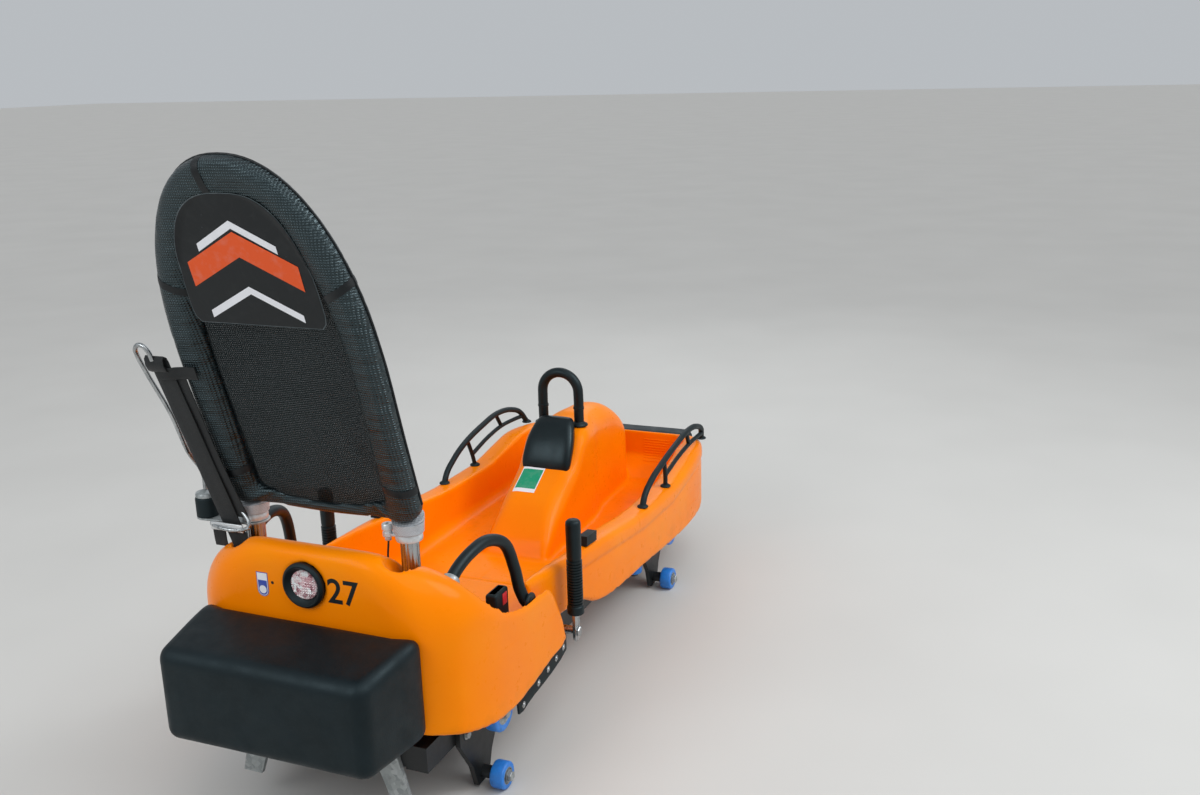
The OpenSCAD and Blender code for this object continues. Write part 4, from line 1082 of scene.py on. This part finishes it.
def makeBoot(spec):
    bm = bmesh.new()
    rings = []
    for y, z, half, high in smoothRows(spec["rows"], 3):
        ring = []
        for a in fullTurn(40):
            s = math.sin(a)
            out = high * fuller(s, 0.55) if s > 0 else spec["inside"] * s
            ring.append(mm(half * fuller(math.cos(a), 0.42), y + spec["slope"] * out * 0.8 + 6,
                           z - 16 + out * spec["slope"]))
        rings.append(ring)
    growForm(bm, rings)
    addPiece("handleBoot", bm, "car", "black_plastic", 60, ("handle_boot",), materials["bootRubber"])


makeBoot(boot)
print("hip tubes, hoop and boot made")

# Guards beside the footwells: two moulded bars joined by short struts, with a flat foot at each end.
guards = {"upper": [(303, -262, 331), (303, -270, 346), (305, -330, 384), (309, -400, 406), (311, -520, 428),
                    (311, -620, 438), (308, -710, 426), (305, -770, 400), (297, -796, 364)],
          "lower": [(306, -440, 362), (308, -540, 382), (309, -640, 392), (307, -720, 390), (305, -776, 386)],
          "struts": [((309, -420, 407), (306, -438, 362), (303, -446, 328)),
                     ((311, -610, 437), (310, -625, 414), (309, -640, 392))],
          "feet": [(303, -262, 329), (303, -446, 325), (297, -796, 361.5)], "thick": 17, "thin": 12.5}


def makeGuard(name, side, spec, node):
    bm = bmesh.new()
    tubeAlong(bm, [sided(side, point) for point in spec["upper"]], spec["thick"], 16, 5)
    tubeAlong(bm, [sided(side, point) for point in spec["lower"]], spec["thin"], 14, 5)
    for strut in spec["struts"]:
        tubeAlong(bm, [sided(side, point) for point in strut], spec["thin"], 14, 4)
    for foot in spec["feet"]:
        turned(bm, [(0, 0), (14, 0), (15, 1.2), (14, 4), (8, 8), (0, 8)], sided(side, foot), (0, 0, 1), 32)
    addPiece(name, bm, "car", "black_plastic", 45, (node,))


makeGuard("sideGuardLeft", 1, guards, "side_guard_l")
makeGuard("sideGuardRight", -1, guards, "side_guard_r")

# Brake levers: a flat steel bar with a round end, a clamp collar, a ribbed sleeve and a smooth grip.
levers = {"x": 332, "y": 262, "pivot": 216}


def makeLever(side, spec, node):
    x, y, z0 = side * spec["x"], spec["y"], spec["pivot"]
    bar, grip = bmesh.new(), bmesh.new()
    outline = [(13 * math.cos(math.radians(a)), z0 - 12 + 13 * math.sin(math.radians(a))) for a in range(180, 361, 12)]
    outline += [(13, z0 + 60), (10, z0 + 84), (-10, z0 + 84), (-13, z0 + 60)]
    growForm(bar, [[mm(x + t, y + u * k, z0 - 12 + (z - z0 + 12) * (0.985 if k < 1 else 1)) for u, z in outline]
                   for t, k in ((-4, 0.93), (-3.2, 1), (3.2, 1), (4, 0.93))])
    turned(bar, [(0, 0), (11, 0), (12, 1), (12, 5), (10.5, 6.5), (0, 6.5)], (x + side * 3.5, y, z0), (side, 0, 0), 6)
    turned(bar, [(12, 0), (15, 0), (15, 1.2), (12, 1.2)], (x + side * 3.3, y, z0), (side, 0, 0), 32)
    profile = [(0, 44), (17.5, 44), (19.5, 46), (20, 60), (19, 64), (16.6, 66)]
    z = 67
    while z < 178:
        profile += [(18.2, z), (18.2, z + 3.4), (15.6, z + 4.4), (15.6, z + 6.0)]
        z += 7.0
    profile += [(16.8, 181), (17.2, 186), (17.8, 262), (16.8, 269), (13, 273), (7, 274.6), (0, 275)]
    turned(grip, [(r, h - 44) for r, h in profile], (x, y, z0 + 44), (0, 0, 1), 36)
    name = "Left" if side > 0 else "Right"
    addPiece("leverBar" + name, bar, "brake", "bright_steel", 35)
    addPiece("leverGrip" + name, grip, "brake", "handle_grip", 40, (node,))


makeLever(1, levers, "brake_lever_l")
makeLever(-1, levers, "brake_lever_r")
print("guards and levers made")

# Belt on the car's left: bracket and bar, reel, hooked rod and the flat strap that runs down behind the bar.
# "hook" and "loop" are given on the backrest's plane, "fall" and "tab" in the car.
belt = {"bracket": (589.7, 593.7), "post": (183, 706), "reel": (290, 722),
        "bar": [(272, 728, 587.7), (256, 754, 587.7), (168, 755, 587.7), (160, 752, 594.7), (184, 743.3, 623.7)],
        "guide": ((177, 752, 579), (257, 756.2, 596)), "rod": [(290, 722, 650.5), (290, 722, 676)],
        "hook": [(282, 120, 22), (282, 210, 28), (298, 320, 36), (298, 350, 40), (294, 366, 43), (282, 377, 44),
                 (268, 375, 45), (260, 362, 46), (259, 346, 46)],
        "strapWide": 46, "underWide": 44, "tabWide": 31, "loopWide": 26,
        "fall": [(209, 744.5, 589, 0.15), (201, 747, 578, 0.0), (193, 747.5, 560, 0.0), (187, 748, 545, 0.0),
                 (184, 748, 532, 0.0)],
        "tab": [(240, 750.5, 592), (240.5, 750.2, 574), (241.5, 748, 556), (242, 745, 541)],
        "loop": [(176, 33.5), (190, 34), (206, 35), (218, 37.5), (228, 41), (240, 43.5), (258, 44)]}


def makeBelt(spec):
    low, high = spec["bracket"]
    (px, py), (rx, ry) = spec["post"], spec["reel"]
    outline = [(px + 30 * math.cos(math.radians(a)), py + 30 * math.sin(math.radians(a))) for a in range(80, 271, 10)]
    outline += [(rx + 23 * math.cos(math.radians(a)), ry + 23 * math.sin(math.radians(a))) for a in range(-80, 91, 10)]
    centre = Vector((sum(p[0] for p in outline), sum(p[1] for p in outline))) / len(outline)
    plate = bmesh.new()
    growForm(plate, [[mm(centre.x + (x - centre.x) * k, centre.y + (y - centre.y) * k, z) for x, y in outline]
                     for z, k in ((low, 0.985), (low + 0.7, 1), (high - 0.7, 1), (high, 0.985))])
    addPiece("beltPlate", plate, "car", "galvanised", 40, ("belt_bracket",))
    bar = bmesh.new()
    corners = spec["bar"]
    course = [corners[0]]
    for before, corner, after in zip(corners, corners[1:], corners[2:]):
        b, c, a = Vector(before), Vector(corner), Vector(after)
        course += [tuple(c + (b - c).normalized() * 6), tuple(c + (a - c).normalized() * 6)]
    tubeAlong(bar, course + [corners[-1]], 8, 14, 5)
    addPiece("beltBar", bar, "car", "bright_steel", 45)
    guide = bmesh.new()
    block(guide, *spec["guide"], 1.8, 3)
    addPiece("beltGuide", guide, "car", "galvanised", 40, (), materials["castAlloy"])

    reel, cap = bmesh.new(), bmesh.new()
    turned(reel, [(0, 0), (21.5, 0), (23, 1.5), (23, 38), (22, 41), (20.5, 42), (0, 42)], (rx, ry, high), (0, 0, 1), 56)
    turned(cap, [(0, 42), (20.5, 42), (21.5, 43), (21.5, 48), (20, 51), (12, 53), (7, 55.6), (0, 56)], (rx, ry, high),
           (0, 0, 1), 56)
    addPiece("beltReel", reel, "car", "black_plastic", 40, ("belt_reel",))
    addPiece("beltReelCap", cap, "car", "galvanised", 40)

    rod = bmesh.new()
    tubeAlong(rod, spec["rod"] + [tuple(onBack(*point) * 1000) for point in spec["hook"]], 9, 16, 5)
    addPiece("beltRod", rod, "car", "bright_steel", 45, ("belt_crook",))


makeBelt(belt)


# Flat webbing: a thin band with stiff selvedges, grown along its course with a slight wave.
def webbing(bm, course, width, thick=2.4, wave=0.8):
    rings = []
    for i, (centre, across, out) in enumerate(course):
        ripple = wave * math.sin(i * 0.8) / 1000
        ring = []
        for u, v in ((-0.5, -0.7), (-0.47, -1), (-0.2, -0.8), (0.2, -0.8), (0.47, -1), (0.5, -0.7),
                     (0.5, 0.7), (0.47, 1), (0.2, 0.8), (-0.2, 0.8), (-0.47, 1), (-0.5, 0.7)):
            ring.append(centre + across * (u * width / 1000) + out * (v * thick / 2000 + ripple * math.cos(u * 3)))
        rings.append(ring)
    grown = bmesh.new()
    growForm(grown, rings)
    mergeInto(bm, grown)


def makeStrap(spec):
    bm = bmesh.new()
    lean = math.radians(backrest["lean"])
    across, outward = Vector((1, 0, 0)), Vector((0, 1, 0))
    back, upward = Vector((0, math.cos(lean), -math.sin(lean))), Vector((0, math.sin(lean), math.cos(lean)))
    strap = [(onBack(252 - 38 * t, 340 - 372 * t, 38 + 5 * t), across, back) for t in (k / 18 for k in range(19))]
    strap += [(mm(x, y, z), across, Vector((0, math.cos(tilt), -math.sin(tilt)))) for x, y, z, tilt in spec["fall"]]
    webbing(bm, strap, spec["strapWide"])
    under = [(onBack(227 - 37 * t + 6 * math.sin(3.1 * t), 318 - 338 * t, 34.2 + 4.6 * t), across, back)
             for t in (k / 16 for k in range(17))]
    webbing(bm, under, spec["underWide"])
    webbing(bm, [(mm(*point), across, outward) for point in spec["tab"]], spec["tabWide"], 2.4, 0)
    sleeve = []
    for k in range(9):
        a = math.pi * 2 * k / 8
        sleeve.append((onBack(254 + 2 * math.sin(a), 336 + 17 * math.cos(a), 42 + 5.5 * math.sin(a)), across,
                       (back * math.sin(a) + upward * math.cos(a)).normalized()))
    webbing(bm, sleeve, spec["underWide"], 3, 0)
    webbing(bm, [(onBack(x, 316, out), upward, back) for x, out in spec["loop"]], spec["loopWide"], 3, 0)
    addPiece("beltWebbing", bm, "car", "webbing", 40, ("belt_webbing",))


makeStrap(belt)

# Buckle on the car's right: a body with a red release key, on a stiff stalk from the seat floor.
buckle = {"stalk": ((-270, 502, 240.3), (-265, 538, 312)), "body": ((-281, 490, 300), (-255, 550, 420))}


def makeBuckle(spec):
    stalk, body, key = bmesh.new(), bmesh.new(), bmesh.new()
    block(stalk, *spec["stalk"], 1.5)
    block(body, *spec["body"], 6, 4)
    (x0, y0), (x1, y1, z1) = spec["body"][0][:2], spec["body"][1]
    block(body, (x0 + 3, y0 + 6, z1 - 4), (x1 - 3, y1 - 6, z1), 1.5)
    block(key, (x0 - 1.2, y0 + 10, z1 - 34), (x0 + 4, y1 - 30, z1 - 8), 1.2)
    addPiece("buckleStalk", stalk, "car", "webbing", 40)
    addPiece("buckleBody", body, "car", "black_plastic", 40, ("belt_buckle",))
    addPiece("buckleKey", key, "car", "black_plastic", 40, (), materials["redKey"])


makeBuckle(buckle)
print("belt made")

# Wheels and rollers: a cast blue tyre on a grey hub with a bearing, and the axle's nut outside.
# Each kind has its diameter and width; "step" is how far a side roller stands from the axle, along the car.
rollers = {"wheel": (84, 30), "under_roller": (60, 32), "side_roller": (48, 30), "axle": 16, "axleX": 295,
           "sideX": 231, "heights": {"wheel": 180, "under_roller": 30, "side_roller": 100},
           "front": -480, "rear": 590, "step": 110,
           "carrierBolts": (252.1, ((-62, 182), (62, 182), (-62, 152), (62, 152))),
           "beamBolts": (241.2, 180, (480, 640, 20, -250, -700)), "endBolts": (60, 800.2, 195)}


def makeRoller(name, kind, centre, axis, spec):
    diameter, width = spec[kind]
    r, w, hub = diameter / 2, width / 2, diameter * 0.31
    tyre, core = bmesh.new(), bmesh.new()
    turned(tyre, [(hub, -w + 1), (r - 4, -w), (r - 1.4, -w + 1.5), (r, -w + 4.5), (r, w - 4.5), (r - 1.4, w - 1.5),
                  (r - 4, w), (hub, w - 1), (hub, -w + 1)], centre, axis, 56)
    b = spec["axle"] / 2 + 0.1
    turned(core, [(b, -w + 0.5), (b + 2, -w + 0.5), (b + 2.4, -w + 2), (hub - 2.5, -w + 2.6), (hub - 1.5, -w + 0.6),
                  (hub, -w + 0.6), (hub, w - 0.6), (hub - 1.5, w - 0.6), (hub - 2.5, w - 2.6), (b + 2.4, w - 2),
                  (b + 2, w - 0.5), (b, w - 0.5), (b, -w + 0.5)], centre, axis, 48)
    addPiece("tyre_" + name, tyre, name, "blue_tyre", 40, (name,))
    addPiece("hub_" + name, core, name, "galvanised", 40)


def makeRunningGear(spec):
    nuts = bmesh.new()
    front, rear = spec["front"], spec["rear"]
    for corner, side, y, inward in (("fl", 1, front, 1), ("fr", -1, front, 1), ("rl", 1, rear, -1),
                                    ("rr", -1, rear, -1)):
        for kind in ("wheel", "under_roller"):
            z = spec["heights"][kind]
            makeRoller(kind + "_" + corner, kind, (side * spec["axleX"], y, z), (side, 0, 0), spec)
            out = spec["axleX"] + spec[kind][1] / 2
            turned(nuts, [(8.2, 0.6), (14, 0.6), (14, 2.2), (8.2, 2.2)], (side * out, y, z), (side, 0, 0), 32)
            turned(nuts, [(0, 2.2), (10.5, 2.2), (11.5, 3.2), (11.5, 8.2), (10.5, 9.4), (0, 9.4)],
                   (side * out, y, z), (side, 0, 0), 6)
        low = spec["heights"]["side_roller"]
        makeRoller("side_roller_" + corner, "side_roller",
                   (side * spec["sideX"], y + inward * spec["step"], low), (0, 0, 1), spec)
        out, spots = spec["carrierBolts"]
        for dy, z in spots:
            hexBolt(nuts, (side * out, y + dy, z), (side, 0, 0), 9)
    out, high, along = spec["beamBolts"]
    for side in (-1, 1):
        for y in along:
            hexBolt(nuts, (side * out, y, high), (side, 0, 0), 7.5)
        hexBolt(nuts, sided(side, spec["endBolts"]), (0, 1, 0), 9)
    addPiece("frameBolts", nuts, "car", "galvanised", 35)


# Washer and six sided head, standing on a face.
def hexBolt(bm, at, axis, radius):
    turned(bm, [(0, 0), (radius * 1.25, 0), (radius * 1.25, 1.3), (0, 1.3)], at, axis, 24)
    turned(bm, [(0, 1.3), (radius * 0.98, 1.3), (radius, 2), (radius, 5.4), (radius * 0.9, 6.4), (0, 6.4)], at, axis, 6)


# Round headed bolt, as on the shells.
def domeBolt(bm, at, axis, radius):
    turned(bm, [(0, 0), (radius * 1.5, 0), (radius * 1.5, 1), (radius, 1.2), (radius * 0.9, 2.4),
                (radius * 0.55, 3.6), (0, 4)], at, axis, 24)


makeRunningGear(rollers)

# Guards below the shell's front edges: black plates whose bolts show below the orange edge.
sill = {"outline": [(290, 221), (330, 222), (400, 219), (470, 214), (540, 206), (545, 178), (542, 150), (526, 148),
                    (500, 153), (470, 157), (420, 160), (370, 165), (325, 172), (292, 182)], "centre": (420, 190),
        "from": 313.7, "to": 319.7, "bolts": ((312, 196), (352, 188), (396, 183), (446, 175), (522, 163))}


def makeSillGuards(spec):
    plates, bolts = bmesh.new(), bmesh.new()
    (cy, cz), inner, outer = spec["centre"], spec["from"], spec["to"]
    for side in (-1, 1):
        plate = bmesh.new()
        growForm(plate, [[mm(side * x, cy + (y - cy) * k, cz + (z - cz) * k) for y, z in spec["outline"]]
                         for x, k in ((inner, 0.985), (inner + 1, 1), (outer - 1, 1), (outer, 0.985))])
        mergeInto(plates, plate)
        for y, z in spec["bolts"]:
            domeBolt(bolts, (side * outer, y, z), (side, 0, 0), 5)
    addPiece("sillGuards", plates, "car", "black_plastic", 40, ("sill_guards",))
    addPiece("sillBolts", bolts, "car", "galvanised", 40, (), materials["bright_steel"])


makeSillGuards(sill)
print("running gear made")

# Seat pad: a flat cushion on the seat floor, filled by the same short simulation as the roll.
# Each ring of "rows" has its share of the full width and its height over the floor.
seatPad = {"half": 226, "from": 414, "to": 626, "floor": 240.6, "fill": 0.6, "voxel": 6.0, "pressure": 3.0,
           "most": 3.0, "rows": [(0.90, 0), (0.97, 3), (0.995, 9), (0.97, 18), (0.86, 24), (0.6, 26.5), (0.3, 27.5)]}


def makeSeatPad(spec):
    bm = bmesh.new()
    rings = []
    middle = (spec["from"] + spec["to"]) / 2
    deep = (spec["to"] - spec["from"]) / 2
    for share, z in spec["rows"]:
        ring = []
        for a in fullTurn(64):
            full = share * (1 - 0.02 * abs(math.cos(2 * a)))
            ring.append(mm(spec["half"] * full * fuller(math.cos(a), 0.38),
                           middle + deep * full * fuller(math.sin(a), 0.5), spec["floor"] + z))
        rings.append(ring)
    growForm(bm, rings)
    pad = looseObject("seatPad", bm)
    plump(pad, spec)
    for vertex in pad.data.vertices:
        vertex.co.z = max(vertex.co.z, (spec["floor"] - 0.3) / 1000)
    dress(pad, "car", "seat_vinyl", 0, ("seat_pad",))


makeSeatPad(seatPad)
print("seat pad made")

# The fleet number is two plain digits on the shell's rear, right of the lamp. The sticker left of the lamp is bare,
# and between them a flat dark disc of painted shade stands for a small cable hole. "numberBold" thickens the digits, in
# metres.
decals = {"number": "27", "numberAt": (-87, 900, 507), "numberHigh": 52, "numberBold": 0.0011,
          "stickerAt": (101, 900, 501), "stickerSize": (13.5, 25), "disc": 8.6, "discAt": -11.6,
          "holeAt": (77, 900, 507), "hole": 3.4}


# Outline of a sticker: a straight top, straight sides, and a half circle below them.
def roundFoot(half, top, low):
    foot = [(-half * math.cos(math.radians(a)), low - half * math.sin(math.radians(a))) for a in range(0, 181, 15)]
    return [(half, top), (-half, top)] + foot


# Flat outline as a thin plate in X and Z, laid on the shell from behind.
def layPlate(name, outline, at, shell, finish, lift):
    bm = bmesh.new()
    startFace(bm, [mm(at[0] + x, at[1], at[2] + z) for x, z in outline])
    bmesh.ops.triangulate(bm, faces=bm.faces)
    divide(bm, 0.006, 2)
    plate = looseObject(name, bm)
    layOn(plate, shell, Vector((0, -1, 0)), lift)
    dress(plate, "car", "orange_shell", 0, (), materials[finish])


def makeDecals(spec):
    shell = bpy.data.objects["rearShellSkin"]
    words = bpy.data.curves.new("fleetNumber", "FONT")
    words.body, words.size = spec["number"], spec["numberHigh"] / 1000 * 1.38
    words.align_x, words.align_y = "CENTER", "CENTER"
    words.offset = spec["numberBold"]
    words.resolution_u = 6
    holder = bpy.data.objects.new("fleetNumberText", words)
    bpy.context.scene.collection.objects.link(holder)
    view = bpy.context.evaluated_depsgraph_get()
    mesh = bpy.data.meshes.new_from_object(holder.evaluated_get(view))
    bpy.data.objects.remove(holder)
    bm = bmesh.new()
    bm.from_mesh(mesh)
    bmesh.ops.remove_doubles(bm, verts=bm.verts, dist=1e-6)
    bmesh.ops.transform(bm, matrix=Matrix.Rotation(math.pi, 4, "Z") @ Matrix.Rotation(math.pi / 2, 4, "X"),
                        verts=bm.verts)
    bmesh.ops.translate(bm, vec=mm(*spec["numberAt"]), verts=bm.verts)
    divide(bm, 0.005, 3)
    number = looseObject("fleetNumber", bm)
    layOn(number, shell, Vector((0, -1, 0)), 0.35)
    dress(number, "car", "black_plastic", 0)
    (half, high), at = spec["stickerSize"], spec["stickerAt"]
    disc, hole = spec["disc"], spec["hole"]
    layPlate("stickerBorder", roundFoot(half, high, 12 - high), at, shell, "labelBlue", 0.3)
    layPlate("stickerEdge", roundFoot(half - 1.6, high - 1.6, 12 - high), at, shell, "labelWhite", 0.5)
    layPlate("stickerField", roundFoot(half - 3, high - 17, 12 - high), at, shell, "labelBlue", 0.7)
    layPlate("stickerDisc", [(disc * math.cos(a), spec["discAt"] + disc * math.sin(a)) for a in fullTurn(24)], at,
             shell, "labelWhite", 0.9)
    # painted shade: the cable hole is not cut; a flat dark disc stands in for its shaded inside
    layPlate("cableHoleShade", [(hole * math.cos(a), hole * math.sin(a)) for a in fullTurn(20)], spec["holeAt"], shell,
             "badgeVinyl", 0.35)


makeDecals(decals)

# Label on the tunnel's slope, left bare: a white plate with a green field.
slopeLabel = {"x": (-4, 62), "y": (-296, -214), "above": 700,
              "plates": [("labelPlate", 0, 0, "labelWhite", 0.35), ("labelField", 3, 14, "labelGreen", 0.6)]}


def makeSlopeLabel(spec):
    tub = bpy.data.objects["frontTubSkin"]
    (x0, x1), (y0, y1) = spec["x"], spec["y"]
    for name, inset, top, finish, lift in spec["plates"]:
        bm = bmesh.new()
        grid = bmesh.ops.create_grid(bm, x_segments=10, y_segments=12, size=0.5)["verts"]
        for vert in grid:
            vert.co = mm(x0 + inset + (vert.co.x + 0.5) * (x1 - x0 - 2 * inset),
                         y0 + top * 0.6 + (vert.co.y + 0.5) * (y1 - y0 - top * 1.4), spec["above"])
        plate = looseObject(name, bm)
        layOn(plate, tub, Vector((0, 0, -1)), lift, 0)
        dress(plate, "car", "orange_shell", 0, (), materials[finish])


makeSlopeLabel(slopeLabel)

# Badge on the backrest: a smooth black field with a fine pale edge and three plain chevrons.
# Each stripe has its place up the backrest, half width, height, the drop of its ends and its finish.
badge = {"foot": 424, "top": 676, "half": 146, "shoulder": 26, "edge": 1.4, "from": 120, "flat": 17,
         "stripes": [("badgeStripeHigh", 612, 84, 15, 46, "labelWhite"),
                     ("badgeStripeMiddle", 558, 118, 48, 62, "labelOrange"),
                     ("badgeStripeLow", 486, 100, 15, 52, "labelWhite")]}


# Outline of the badge's field, grown all round by its edge.
def badgeOutline(spec, edge):
    foot, top, half = spec["foot"], spec["top"], spec["half"]
    middle, spring = (foot + top) / 2, foot + spec["shoulder"]
    points = [(half * 0.98 * fuller(math.cos(a), 0.72), spring + (top - spring) * math.sin(a) ** 0.8)
              for a in (math.pi * k / 36 for k in range(37))]
    points += [(-half * 0.96, foot + 10), (-half * 0.90, foot), (half * 0.90, foot), (half * 0.96, foot + 10)]
    return [(x + math.copysign(edge, x), middle + (up - middle) * (1 + edge / 110)) for x, up in points]


# Lays a plate on the roll from behind; where the roll curves away, the plate spans the gap flat.
def onRoll(name, outline, lift, finish, spec):
    bm = bmesh.new()
    startFace(bm, [onBack(x, up, spec["from"]) for x, up in outline])
    bmesh.ops.triangulate(bm, faces=bm.faces)
    divide(bm, 0.007, 6, True)
    bmesh.ops.remove_doubles(bm, verts=bm.verts, dist=1e-5)
    plate = looseObject(name, bm)
    inward = (onBack(0, 0, -1) - onBack(0, 0, 0)).normalized()
    roll, deepest = bpy.data.objects["backRoll"], (spec["from"] - spec["flat"]) / 1000
    for vertex in plate.data.vertices:
        found, place = roll.ray_cast(vertex.co, inward)[:2]
        depth = min((vertex.co - place).length, deepest) if found else deepest
        vertex.co += inward * (depth - lift / 1000)
    dress(plate, "car", "back_vinyl", 0, (), materials[finish])


def makeBadge(spec):
    onRoll("badgeEdge", badgeOutline(spec, spec["edge"]), 1.4, "labelGrey", spec)
    onRoll("badgeField", badgeOutline(spec, 0.0), 2.2, "badgeVinyl", spec)
    for name, at, wide, high, drop, finish in spec["stripes"]:
        onRoll(name, [(0, at + high), (wide, at + high - drop), (wide, at - drop), (0, at), (-wide, at - drop),
                      (-wide, at + high - drop)], 2.8, finish, spec)


makeBadge(badge)
print("number, labels and badge made")

print("all pieces made")
